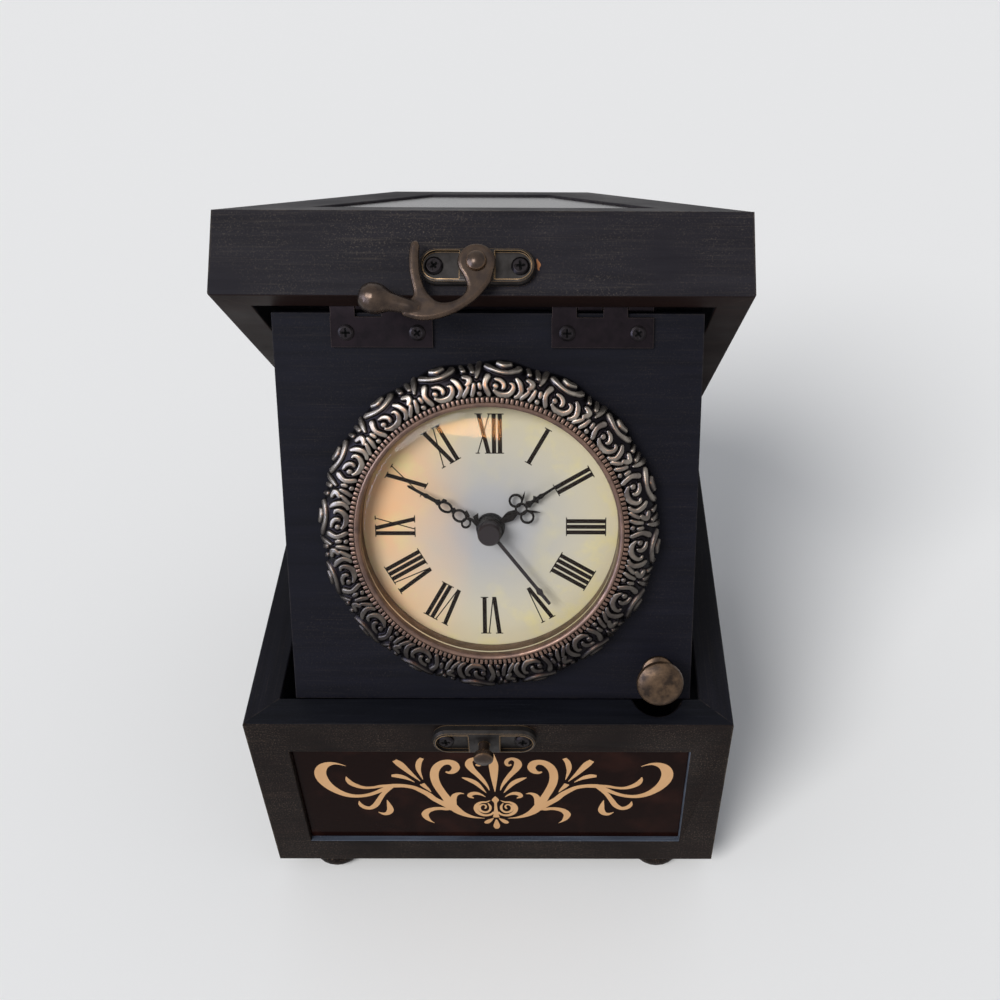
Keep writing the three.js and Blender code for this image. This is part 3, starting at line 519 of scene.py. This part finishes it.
# The rails are drawn up to the roof that they are glued to, which closes the seam between the two
SEAM = 0.29
for side in ("front", "rear", "left", "right"):
    wood = lid_front_wood if side in ("front", "rear") else lid_side_wood
    source = f"lid_{side}_rail"
    rail = soften(
        f"lid_{side}_board", source, "lid", wood, BOARD_EDGE, sharp=LID_SHARP, grow=SEAM
    )
    repaint(rail, lid_edge_wood, lambda normal, centre: normal.dot(lid_up) < -0.9)


# Lid roof
# The hipped top with its flat crown, of the same painted wood, glued on the rails. Each slope has a routed recess.
soften("lid_top", "lid_roof", "lid", lid_front_wood, BOARD_EDGE, sharp=[-lid_up])


# Chip
# A flake of paint is gone from the lid's front beside the latch plate, and the bare red-brown wood shows.
lid_hinge = Matrix.Translation(JOINTS["lid_hinge"]["pos_m"])
lid_shut = lid_hinge @ Matrix.Rotation(-lid_angle, 4, "X") @ lid_hinge.inverted()
lid_face = min((lid_shut @ vert.co).y for vert in frame["nodes"]["lid_front_rail"].data.vertices)
LID_FRONT = lid_shut.inverted() @ Matrix.Translation((0, lid_face, 0)) @ UPRIGHT
CHIP_LEVEL = 0.02
CHIP = [(14.9, 95.9, 0.1), (15.2, 95.0, 0.35), (15.5, 94.2, 0.5), (15.3, 93.2, 0.3), (15.6, 92.6, 0.1)]
bare_wood = plain_material("bare_wood", "#9a6238", 0.7)
chip = bmesh.new()
stroke(chip, CHIP, CHIP_LEVEL)
finish_piece("lid_front_chip", to_mesh("lid_front_chip", chip, LID_FRONT), "lid", bare_wood)


# Roof prints
# A glossy sheet, printed dark with faint grey clouds, glued in the recess of each slope.
roof_print = print_sheet("roof_print", "#1c181b", "#3c3538", 0.18, 0.16)
for side in ("front", "right", "rear", "left"):
    soften(f"roof_sheet_{side}", f"roof_inlay_{side}", "lid", roof_print, 0)


# Rear hinges
# Two small butt hinges of stamped brass, darkened, with knuckles rolled round a pin. Their screws' heads are part
# of the leaves.
hinge_metal = aged_metal("hinge_metal", "#130f12", "#1e181c", "#50453f", metallic=0.92, rubbed=0.6, edge=0.0004)
for side in ("left", "right"):
    soften(f"rear_{side}_upper_leaf", f"rear_hinge_{side}_lid_leaf", "lid", hinge_metal, 0.12)
    soften(f"rear_{side}_lower_leaf", f"rear_hinge_{side}_case_leaf", "case", hinge_metal, 0.12)
    soften(f"rear_{side}_pin", f"rear_hinge_{side}_pin", "case", hinge_metal, 0.08)


# Latch
# The stamped plate on the lid with its two screws, and the cast brass swing hook riveted through it.
soften("latch_base", "latch_plate", "lid", plate_brass, 0.25)
crossed_screw("latch_left_screw", "latch_screw_left", "lid", LID_FRONT, 40)
crossed_screw("latch_right_screw", "latch_screw_right", "lid", LID_FRONT, 12)
soften("latch_swing_hook", "latch_hook", "hook", cast_brass, melt=0.22)
soften("latch_rivet_head", "latch_rivet", "lid", cast_brass, 0.25, 3, 40)


# Clock panel
# The wooden board that carries the clock, hung from the lid, in black satin paint with a faint bluish sheen.
panel_tilt = pi + lid_angle + radians(JOINTS["clock_panel_fold"]["range_deg"][0])
# The panel's own frame, in millimetres from its hinge line: X to the right, Y up and Z out of its face
PANEL_FRAME = (
    Matrix.Translation(JOINTS["clock_panel_fold"]["pos_m"])
    @ Matrix.Rotation(panel_tilt, 4, "X")
    @ Matrix.Scale(MM, 4)
)
panel_wood = black_wood(
    "panel_wood", "#0c0c13", "#13131c", (panel_tilt, 0, 0), streaks=0.08, specks=0.14, wear=0.3
)
soften("panel_board", "clock_panel", "panel", panel_wood, 0.6)


# Panel hinges
# Two butt hinges of the same darkened brass between the lid's rail and the panel. Two screws hold each panel leaf.
for side in ("left", "right"):
    soften(f"fold_{side}_leaf", f"panel_hinge_{side}_panel_leaf", "panel", hinge_metal, 0.12)
    soften(f"fold_{side}_rail_leaf", f"panel_hinge_{side}_rail_leaf", "lid", hinge_metal, 0.12)
    soften(f"fold_{side}_pin", f"panel_hinge_{side}_pin", "lid", hinge_metal, 0.08)
    for end, turn in (("left", 5), ("right", 38)):
        crossed_screw(f"fold_{side}_{end}_screw", f"panel_hinge_{side}_screw_{end}", "panel", PANEL_FRAME, turn)


# Pull
# A knob turned from brass, with a mottled antique bronze finish, screwed into the panel's corner.
knob_metal = aged_metal("knob_bronze", "#2b211a", "#604c3a", "#715c46", rough=0.4, rubbed=0.5)
soften("pull_turning", "pull_knob", "panel", knob_metal, 0.2, 3, 40)


# Bezel
# The cast ring round the clock, with a scalloped rim and sixteen repeats of a raised swirl. It is lacquered nearly
# black and rubbed back to bright bronze on the swirls. It is a turning, with the pattern raised along its normals.
CLOCK_PLACE = (1.0, -65.2, 0.4)
CLOCK = PANEL_FRAME @ Matrix.Translation(CLOCK_PLACE)
BEZEL_PROFILE = [
    (40.9, 0.3), (40.9, 6.8), (41.0, 7.6), (41.25, 8.1), (41.6, 8.35), (42.2, 8.45), (42.8, 8.5), (43.4, 8.5),
    (44.0, 8.45), (44.6, 8.35), (45.2, 8.2), (45.8, 8.0), (46.4, 7.75), (47.0, 7.4), (47.6, 7.0), (48.2, 6.5),
    (48.7, 5.95), (49.2, 5.3), (49.6, 4.6), (49.9, 3.9), (50.1, 3.1), (50.2, 2.2), (50.2, 1.2), (50.1, 0.3),
]
BEZEL_TURN_STEPS = 1440
PATTERN_START = 41.6
BORE_TOP = 7.0
SWIRL_RADIUS = 46.5
RELIEF = 0.95
REPEATS = 16
FIRST_SWIRL = radians(4.6)
SCALLOP = 1.1
SCALLOP_START = 46.0
SCALLOP_WIDTH = 4.0
SECTORS = 16
TURNING_WELD = 0.0005
# One repeat, as strokes of (place round the rim, place out across it, half width) in millimetres
MOTIF = [
    [(-4.1, 8.6, 0.8), (-3.1, 7.8, 0.8), (-1.4, 6.8, 0.68), (0.6, 6.35, 0.62), (2.5, 6.7, 0.74),
     (4.1, 7.7, 0.9), (4.8, 8.7, 0.95)],
    [(-0.9, 9.4, 0.75), (0.6, 8.9, 0.95), (2.2, 9.4, 0.75)],
    [(7.2, 9.6, 0.6), (7.8, 7.7, 0.78)],
    [(9.7, 10.0, 0.65), (10.1, 8.6, 0.8), (10.4, 6.9, 0.74)],
    [(12.2, 10.6, 0.75), (12.1, 9.2, 0.9), (11.8, 6.6, 0.78), (11.4, 4.8, 0.45)],
    [(-3.7, 5.0, 1.0), (-4.35, 3.5, 0.88), (-4.4, 2.4, 0.82), (-3.9, 1.2, 0.86), (-3.3, 0.2, 0.8)],
    [(-1.4, 4.3, 0.5), (0.0, 4.0, 0.68), (1.0, 3.2, 0.74), (1.2, 2.4, 0.72), (0.9, 2.0, 0.5)],
    [(-1.45, 2.5, 0.8), (-1.15, 2.4, 0.8)],
    [(-1.7, 1.2, 0.5), (-0.6, 0.5, 0.72), (0.9, 0.2, 0.84), (2.5, 0.4, 0.9), (3.5, 1.1, 0.88),
     (4.05, 2.2, 0.78), (3.8, 3.2, 0.6), (3.0, 3.5, 0.42)],
    [(4.6, 4.9, 0.6), (5.6, 3.9, 0.84), (6.3, 2.6, 0.9), (6.45, 1.6, 0.84), (5.8, 0.5, 0.72),
     (5.0, 0.1, 0.5)],
    [(7.9, 5.3, 0.85), (9.1, 4.8, 0.95), (9.35, 4.0, 0.92), (8.9, 3.3, 0.8), (8.4, 3.0, 0.6)],
    [(8.8, 2.2, 0.6), (8.0, 1.1, 0.74), (7.0, 0.0, 0.6)],
    [(10.6, 2.9, 0.62), (10.3, 1.4, 0.82), (9.7, 0.1, 0.72)],
    [(12.2, 2.9, 0.66), (12.4, 2.0, 0.72)],
    [(11.9, 0.4, 0.68), (12.3, 0.3, 0.68)],
]


def spin(points, steps):
    """A turning round Z from (radius, height) points in millimetres: one sector, and then copies of it."""
    shape = bmesh.new()
    sector = 2 * pi / SECTORS
    corners = [shape.verts.new((0, r, z)) for r, z in points]
    lines = [shape.edges.new(pair) for pair in zip(corners, corners[1:])]
    bmesh.ops.spin(
        shape, geom=corners + lines, cent=(0, 0, 0), axis=(0, 0, 1), angle=sector, steps=steps // SECTORS
    )
    bmesh.ops.spin(
        shape,
        geom=shape.verts[:] + shape.edges[:] + shape.faces[:],
        cent=(0, 0, 0),
        axis=(0, 0, 1),
        angle=2 * pi - sector,
        steps=SECTORS - 1,
        use_duplicate=True,
    )
    bmesh.ops.remove_doubles(shape, verts=shape.verts, dist=TURNING_WELD)
    return shape


def relief_height(along, across, pitch):
    """How far the cast pattern rises, from 0 to 1, at this place round and across the rim, in millimetres."""
    height = np.zeros_like(along)
    wrapped = (along + pitch / 2) % pitch - pitch / 2
    for line in MOTIF:
        fine = smooth_line(line, 6)
        for shift in (-pitch, 0, pitch):
            for a, b in zip(fine, fine[1:]):
                step = b[:2] - a[:2]
                past = wrapped - a[0] - shift
                beside = across - a[1]
                share = np.clip((past * step[0] + beside * step[1]) / max(step @ step, 1e-9), 0, 1)
                gap = np.hypot(past - share * step[0], beside - share * step[1])
                half = a[2] + (b[2] - a[2]) * share
                # A ridge with a flat top and rounded shoulders
                ridge = np.clip(1.7 - 1.2 * gap / half, 0, 1)
                height = np.maximum(height, ridge * ridge * (3 - 2 * ridge))
    return height


profile = smooth_line(BEZEL_PROFILE, 3)
run = np.concatenate([[0], np.cumsum(np.linalg.norm(np.diff(profile, axis=0), axis=1))])
start_gap = np.where(profile[:, 1] < BORE_TOP, np.inf, np.abs(profile[:, 0] - PATTERN_START))
pattern_run = run[np.argmin(start_gap)]
tangent = np.gradient(profile, axis=0)
outward = np.stack([-tangent[:, 1], tangent[:, 0]], 1)
outward /= np.linalg.norm(outward, axis=1, keepdims=True)
casting = spin(profile, BEZEL_TURN_STEPS)
spots = np.array([vert.co[:] for vert in casting.verts])
reach = np.hypot(spots[:, 0], spots[:, 1])
angles = np.arctan2(spots[:, 0], spots[:, 1]) - FIRST_SWIRL
rows = np.argmin(np.hypot(reach[:, None] - profile[:, 0], spots[:, 2:] - profile[:, 1]), axis=1)
pitch = 2 * pi * SWIRL_RADIUS / REPEATS
raised = relief_height(angles * SWIRL_RADIUS, run[rows] - pattern_run, pitch)
lobe = 0.5 + 0.5 * np.cos(angles * REPEATS)
rim_share = np.clip((reach - SCALLOP_START) / SCALLOP_WIDTH, 0, 1)
widths = (reach + outward[rows, 0] * raised * RELIEF + (lobe - 1) * SCALLOP * rim_share) / reach
relief = casting.verts.layers.float.new("relief")
for vert, width, rise, row in zip(casting.verts, widths, raised, rows):
    vert.co = (vert.co.x * width, vert.co.y * width, vert.co.z + outward[row, 1] * rise * RELIEF)
    vert[relief] = rise
bezel_mesh = to_mesh("bezel_casting", casting, CLOCK)
# Bronze that is bright on the raised swirls, by the relief attribute, on a ground of nearly black lacquer
bronze = new_material("bezel_bronze")
bronze_place = node(bronze, "TexCoord").outputs["Object"]
bronze_relief = node(bronze, "Attribute", attribute_name="relief").outputs["Fac"]
bronze_cloud = node(
    bronze, "TexNoise", {"Vector": bronze_place, "Scale": 220.0, "Detail": 4.0, "Roughness": 0.6}
)
bronze_patch = node(
    bronze, "MapRange", {"Value": bronze_cloud.outputs[0], "From Min": 0.35, "From Max": 0.65}
).outputs[0]
bronze_top = node(
    bronze, "Mix", {0: bronze_patch, 6: linear("#625b57"), 7: linear("#8f887f")}, data_type="RGBA"
).outputs[2]
# Painted shade: the bright swirls are drawn darker towards the foot of the panel, going by height
bronze_height = node(bronze, "SeparateXYZ", {0: bronze_place}).outputs["Z"]
bronze_painted_shade = node(
    bronze,
    "MapRange",
    {"Value": bronze_height, "From Min": 0.1, "From Max": 0.18, "To Min": 0.2, "To Max": 1.0},
    interpolation_type="SMOOTHSTEP",
).outputs[0]
bronze_share = node(
    bronze, "MapRange", {"Value": bronze_relief, "From Min": 0.3, "From Max": 0.95}
).outputs[0]
# The rubbed swirls, dulled lower down by the painted shade
bronze_rubbed_and_shaded = node(bronze, "Math", {0: bronze_share, 1: bronze_painted_shade}, operation="MULTIPLY").outputs[0]
bronze_colour = node(
    bronze, "Mix", {0: bronze_rubbed_and_shaded, 6: linear("#0e0b10"), 7: bronze_top}, data_type="RGBA"
).outputs[2]
bronze_surface = node(
    bronze, "BsdfPrincipled", {"Base Color": bronze_colour, "Roughness": 0.34, "Metallic": 0.9}
)
node(bronze, "OutputMaterial", {"Surface": bronze_surface.outputs[0]})
bezel = finish_piece("bezel_casting", bezel_mesh, "panel", bronze, ["clock_bezel"], 60)


# Milled ring
# The copper-coloured ring that holds the glass in the bezel: a turned bead with a row of fine milled teeth outside
# it. The roots of the teeth are drawn much darker than the teeth.
copper = aged_metal("ring_copper", "#54413a", "#775d50", "#a08470", metallic=0.6, rough=0.36, edge=0.0003)
copper_root = aged_metal(
    "ring_copper_root", "#120d0c", "#1d1512", "#2b201b", metallic=0.4, rough=0.5, edge=0.0003
)
RING_STEPS = 240
BEAD = [
    (37.9, 1.5), (37.9, 8.7), (38.05, 9.3), (38.45, 9.7), (38.95, 9.75), (39.3, 9.5), (39.4, 9.0), (39.4, 8.0)
]
ROOT = [(39.1, 8.1), (40.8, 8.0), (40.8, 1.5)]
TEETH = 180
TOOTH_PLACE = (0, 40.05, 8.85)
TOOTH_LEAN = radians(-8)
TOOTH_SIZE = (0.86, 1.45, 1.5)
TOOTH_EDGE = 0.2
bead = spin(BEAD, RING_STEPS)
for i in range(TEETH):
    place = (
        Matrix.Rotation(2 * pi * i / TEETH, 4, "Z")
        @ Matrix.Translation(TOOTH_PLACE)
        @ Matrix.Rotation(TOOTH_LEAN, 4, "X")
        @ Matrix.Diagonal((*TOOTH_SIZE, 1))
    )
    tooth = bmesh.ops.create_cube(bead, size=1, matrix=place)["verts"]
    tooth_edges = list({line for corner in tooth for line in corner.link_edges})
    bmesh.ops.bevel(
        bead, geom=tooth_edges, offset=TOOTH_EDGE, segments=2, profile=0.5, affect="EDGES", material=-1
    )
finish_piece("ring_milled", to_mesh("ring_milled", bead, CLOCK), "panel", copper, ["milled_ring"], 40)
root = spin(ROOT, RING_STEPS)
finish_piece("ring_root", to_mesh("ring_root", root, CLOCK), "panel", copper_root, (), 40)


# Dial
# A disc of printed paper glued on a thin plate behind the glass: grey at the middle and cream towards its edge,
# with the print of old stains, peach on the left and olive in small blotches.
PAPER_RADIUS = 0.04
paper = new_material("dial_paper")
paper_place = node(paper, "TexCoord").outputs["Object"]
paper_local = node(
    paper,
    "Mapping",
    {
        "Vector": paper_place,
        "Location": CLOCK.translation,
        "Rotation": (panel_tilt, 0, 0),
        "Scale": (PAPER_RADIUS, PAPER_RADIUS, PAPER_RADIUS),
    },
    vector_type="TEXTURE",
).outputs[0]
paper_far = node(paper, "VectorMath", {0: paper_local}, operation="LENGTH").outputs["Value"]
paper_edge = node(paper, "MapRange", {"Value": paper_far, "From Min": 0.25, "From Max": 0.95}).outputs[0]
paper_base = node(
    paper, "Mix", {0: paper_edge, 6: linear("#b5b3b6"), 7: linear("#ded1b1")}, data_type="RGBA"
).outputs[2]
paper_side = node(paper, "SeparateXYZ", {0: paper_local})
paper_left = node(
    paper, "MapRange", {"Value": paper_side.outputs["X"], "From Min": -0.12, "From Max": -0.8}
).outputs[0]
paper_cloud = node(paper, "TexNoise", {"Vector": paper_local, "Scale": 1.6, "Detail": 3.0, "Roughness": 0.5})
paper_blot = node(
    paper, "MapRange", {"Value": paper_cloud.outputs[0], "From Min": 0.3, "From Max": 0.6, "To Min": 0.35}
).outputs[0]
paper_share = node(paper, "Math", {0: paper_left, 1: paper_blot}, operation="MULTIPLY").outputs[0]
paper_peach = node(
    paper, "Mix", {0: paper_share, 6: paper_base, 7: linear("#f9c08f")}, data_type="RGBA"
).outputs[2]
paper_fleck = node(paper, "TexNoise", {"Vector": paper_local, "Scale": 3.6, "Detail": 5.0, "Roughness": 0.65})
paper_olive = node(
    paper, "MapRange", {"Value": paper_fleck.outputs[0], "From Min": 0.5, "From Max": 0.72}
).outputs[0]
paper_olive_share = node(paper, "Math", {0: paper_olive, 1: paper_edge}, operation="MULTIPLY").outputs[0]
paper_colour = node(
    paper, "Mix", {0: paper_olive_share, 6: paper_peach, 7: linear("#e6d79c")}, data_type="RGBA"
).outputs[2]
paper_surface = node(
    paper, "BsdfPrincipled", {"Base Color": paper_colour, "Roughness": 0.6, "Specular IOR Level": 0.1}
)
node(paper, "OutputMaterial", {"Surface": paper_surface.outputs[0]})
soften("dial_sheet", "dial", "panel", paper, 0)


# Numerals
# Roman numerals printed on the dial in brown-black ink, their feet to the middle, with four as IIII.
ink = plain_material("numeral_ink", "#1b120d", 0.5, 0.08)
NUMERALS = ["XII", "I", "II", "III", "IIII", "V", "VI", "VII", "VIII", "IX", "X", "XI"]
FOOT_RADIUS = 22.4
LETTER_HEIGHT = 12.0
THICK = 1.25
THIN = 0.34
SERIF = 0.3
ADVANCE = {"I": 1.75, "V": 4.3, "X": 4.3}
INK_LEVEL = 1.13
REACH = 1.75
INNER = REACH - 0.3
# Bars of (foot, top, width, level) and serifs of (middle, width, whether at the top, level), in millimetres
BARS = {
    "I": [(0, 0, THICK, 0)],
    "V": [(0.1, -INNER, THICK, 0), (0.45, REACH, THIN, 0.002)],
    "X": [(INNER, -INNER, THICK, 0), (-REACH, REACH, THIN, 0.002)],
}
SERIFS = {
    "I": [(0, 2.3, True, 0.004), (0, 2.3, False, 0.004)],
    "V": [(-INNER, 2.2, True, 0.004), (REACH, 1.3, True, 0.004)],
    "X": [
        (-INNER, 2.2, True, 0.004),
        (REACH, 1.3, True, 0.004),
        (INNER, 2.2, False, 0.006),
        (-REACH, 1.3, False, 0.006),
    ],
}


def ink_patch(shape, low, high, width, low_y, high_y, level):
    """A bar of ink whose middle leans from low, at the height low_y, to high, at the height high_y."""
    corners = [
        (low - width / 2, low_y),
        (low + width / 2, low_y),
        (high + width / 2, high_y),
        (high - width / 2, high_y),
    ]
    return shape.faces.new([shape.verts.new((x, y, INK_LEVEL + level)) for x, y in corners])


numerals = bmesh.new()
for hour, word in enumerate(NUMERALS):
    patches = []
    start = -sum(ADVANCE[letter] for letter in word) / 2
    for letter in word:
        middle = start + ADVANCE[letter] / 2
        for foot, top, width, level in BARS[letter]:
            ends = (middle + foot, middle + top, width, FOOT_RADIUS, FOOT_RADIUS + LETTER_HEIGHT)
            patches.append(ink_patch(numerals, *ends, level))
        for shift, width, at_top, level in SERIFS[letter]:
            low = FOOT_RADIUS + (LETTER_HEIGHT - SERIF if at_top else 0)
            ends = (middle + shift, middle + shift, width, low, low + SERIF)
            patches.append(ink_patch(numerals, *ends, level))
        start += ADVANCE[letter]
    corners = [corner for patch in patches for corner in patch.verts]
    turn = Matrix.Rotation(-2 * pi * hour / 12, 3, "Z")
    bmesh.ops.rotate(numerals, verts=corners, cent=(0, 0, 0), matrix=turn)
finish_piece("dial_numerals", to_mesh("dial_numerals", numerals, CLOCK), "panel", ink)


# Movement
# The quartz movement behind the panel, moulded in black plastic, with its battery and setting wheel. Its bushing
# comes through the panel and the dial, where a round nut holds it.
NUT_FOOT = 1.2
NUT_TOP = NUT_FOOT + 1.5
NUT_STEPS = 64
NUT = [
    (3.0, NUT_FOOT), (4.3, NUT_FOOT), (4.3, NUT_FOOT + 1.1), (4.0, NUT_TOP), (3.0, NUT_TOP), (3.0, NUT_FOOT)
]
# Injection-moulded ABS, satin black
plastic = plain_material("movement_plastic", "#19181a", 0.5, 0.2)
# The printed film round a dry cell, smooth and grey-green
jacket = plain_material("cell_jacket", "#5b6a58", 0.35)
soften("movement_box", "movement_case", "panel", plastic, 0.3)
soften("dry_cell", "battery", "panel", jacket, 0.3)
soften("wheel_for_setting", "setting_wheel", "setting_wheel", plastic, 0.15)
nut = spin(NUT, NUT_STEPS)
finish_piece("nut_on_dial", to_mesh("nut_on_dial", nut, CLOCK), "panel", plastic, ["dial_nut"])


# Hands
# Stamped metal hands, painted black and pressed on the movement's arbors: two pierced ones for hours and minutes,
# and a plain one for seconds under the domed hub cap.
hand_black = plain_material("hand_black", "#140f0e", 0.42, 0.1)
# The seconds hand and its cap are a little greyer and glossier than the other two
cap_black = plain_material("cap_black", "#2a2326", 0.42, 0.2)
soften("hour_pointer", "hour_hand", "hour_hand", hand_black, 0)
soften("minute_pointer", "minute_hand", "minute_hand", hand_black, 0)
soften("second_pointer", "second_hand", "second_hand", cap_black, 0)


# Glass
# The domed clear glass, sagged in a mould and seated inside the milled ring. It lets nearly all light through, and
# mirrors more at a slant.
GLASS_FLANGE = [(37.75, 6.6), (37.7, 7.6)]
DOME_RADIUS = 37.4
DOME_FOOT = 7.8
DOME_RISE = 4.2
DOME_STEPS = 14
GLASS_STEPS = 128
glass = new_material("clear_glass")
glass_clear = node(glass, "BsdfTransparent", {"Color": (0.97, 0.98, 0.97, 1)})
glass_shine = node(glass, "BsdfGlossy", {"Roughness": 0.05})
glass_edge = node(glass, "Fresnel", {"IOR": 1.25})
glass_mix = node(
    glass, "MixShader", {0: glass_edge.outputs[0], 1: glass_clear.outputs[0], 2: glass_shine.outputs[0]}
)
node(glass, "OutputMaterial", {"Surface": glass_mix.outputs[0]})
shares = [i / DOME_STEPS for i in range(DOME_STEPS + 1)]
dome_line = [(DOME_RADIUS * (1 - share), DOME_FOOT + DOME_RISE * (1 - (1 - share) ** 2)) for share in shares]
dome = spin(GLASS_FLANGE + dome_line, GLASS_STEPS)
dome_glass = finish_piece(
    "glass_dome", to_mesh("glass_dome", dome, CLOCK), "panel", glass, ["clock_glass"], 40
)


# Floor
# A plain pale surface under the safe.
floor_material = plain_material("floor", "#f4f3f1", 0.8)
floor_shape = bmesh.new()
bmesh.ops.create_grid(floor_shape, x_segments=1, y_segments=1, size=4)
floor_mesh = bpy.data.meshes.new("floor")
floor_shape.to_mesh(floor_mesh)
floor_shape.free()
floor_mesh.materials.append(floor_material)
floor = bpy.data.objects.new("floor", floor_mesh)
scene.collection.objects.link(floor)


# Light
# Soft daylight from the upper left and front under a plain white sky. Three lamps, shaped as windows, show in gloss
# only: a warm one in front, and two cool ones on the left.
world = bpy.data.worlds.new("studio")
scene.world = world
world.use_nodes = True
world.node_tree.nodes.clear()
# What is looked at or mirrored is the plain white sky, and what lights the safe is its dimmer fill
path = node(world, "LightPath")
mirrored = node(
    world,
    "Math",
    {0: path.outputs["Is Glossy Ray"], 1: path.outputs["Is Transmission Ray"]},
    operation="MAXIMUM",
)
looked_at = node(
    world, "Math", {0: path.outputs["Is Camera Ray"], 1: mirrored.outputs[0]}, operation="MAXIMUM"
)
seen = node(world, "Background", {"Color": linear("#f6f6f6"), "Strength": 1.0})
fill = node(world, "Background", {"Color": linear("#eef2fa"), "Strength": 0.42})
choose = node(world, "MixShader", {0: looked_at.outputs[0], 1: fill.outputs[0], 2: seen.outputs[0]})
node(world, "OutputWorld", {"Surface": choose.outputs[0]})


def lamp(name, place, aim, size, power, colour):
    """A rectangular soft light at place, in metres, turned to aim. It shows in gloss only."""
    data = bpy.data.lights.new(name, "AREA")
    data.shape = "RECTANGLE"
    data.size, data.size_y = size
    data.energy = power
    data.color = linear(colour)[:3]
    made = bpy.data.objects.new(name, data)
    made.location = place
    made.rotation_euler = (Vector(aim) - Vector(place)).to_track_quat("-Z", "Y").to_euler()
    made.visible_diffuse = False
    scene.collection.objects.link(made)
    return made


SUN_PLACE = Vector((-0.42, -0.6, 0.68))
CLOCK_AIM = (0, -0.05, 0.14)
sun_data = bpy.data.lights.new("daylight", "SUN")
sun_data.energy = 2.3
sun_data.angle = radians(28)
sun = bpy.data.objects.new("daylight", sun_data)
sun.rotation_euler = (-SUN_PLACE).to_track_quat("-Z", "Y").to_euler()
scene.collection.objects.link(sun)
# The warm window is for the clock alone, so that it doesn't glare from the glossy roof when the lid moves
glow = lamp("window_glow", (-0.17, -1.05, 0.86), CLOCK_AIM, (0.36, 0.11), 3.8, "#ffad62")
clock_only = bpy.data.collections.new("clock_only")
clock_only.objects.link(dome_glass)
clock_only.objects.link(bezel)
glow.light_linking.receiver_collection = clock_only
lamp("left_window", (-0.93, -0.76, 0.42), CLOCK_AIM, (0.3, 0.7), 7.0, "#cfdcff")
lamp("side_window", (-1.05, -0.3, 0.5), CLOCK_AIM, (0.5, 0.5), 6.0, "#dfe7ff")


# Camera
# The photograph's viewing angle, from the front and well above, with the safe a little right of the middle.
camera_data = bpy.data.cameras.new("camera")
camera_data.sensor_width = 36
camera_data.lens = 42.6
camera_data.shift_x = -0.06
CAMERA_PLACE = (0.0197, -0.3014, 0.3783)
LOOK_ASIDE = radians(-0.42)
LOOK_DOWN = radians(42.2)
ROLL = radians(0.45)
camera = bpy.data.objects.new("camera", camera_data)
camera.matrix_world = Matrix.Translation(CAMERA_PLACE) @ (
    Matrix.Rotation(LOOK_ASIDE, 4, "Z")
    @ Matrix.Rotation(pi / 2 - LOOK_DOWN, 4, "X")
    @ Matrix.Rotation(ROLL, 4, "Z")
)
scene.collection.objects.link(camera)
scene.camera = camera
scene.view_settings.view_transform = "Standard"
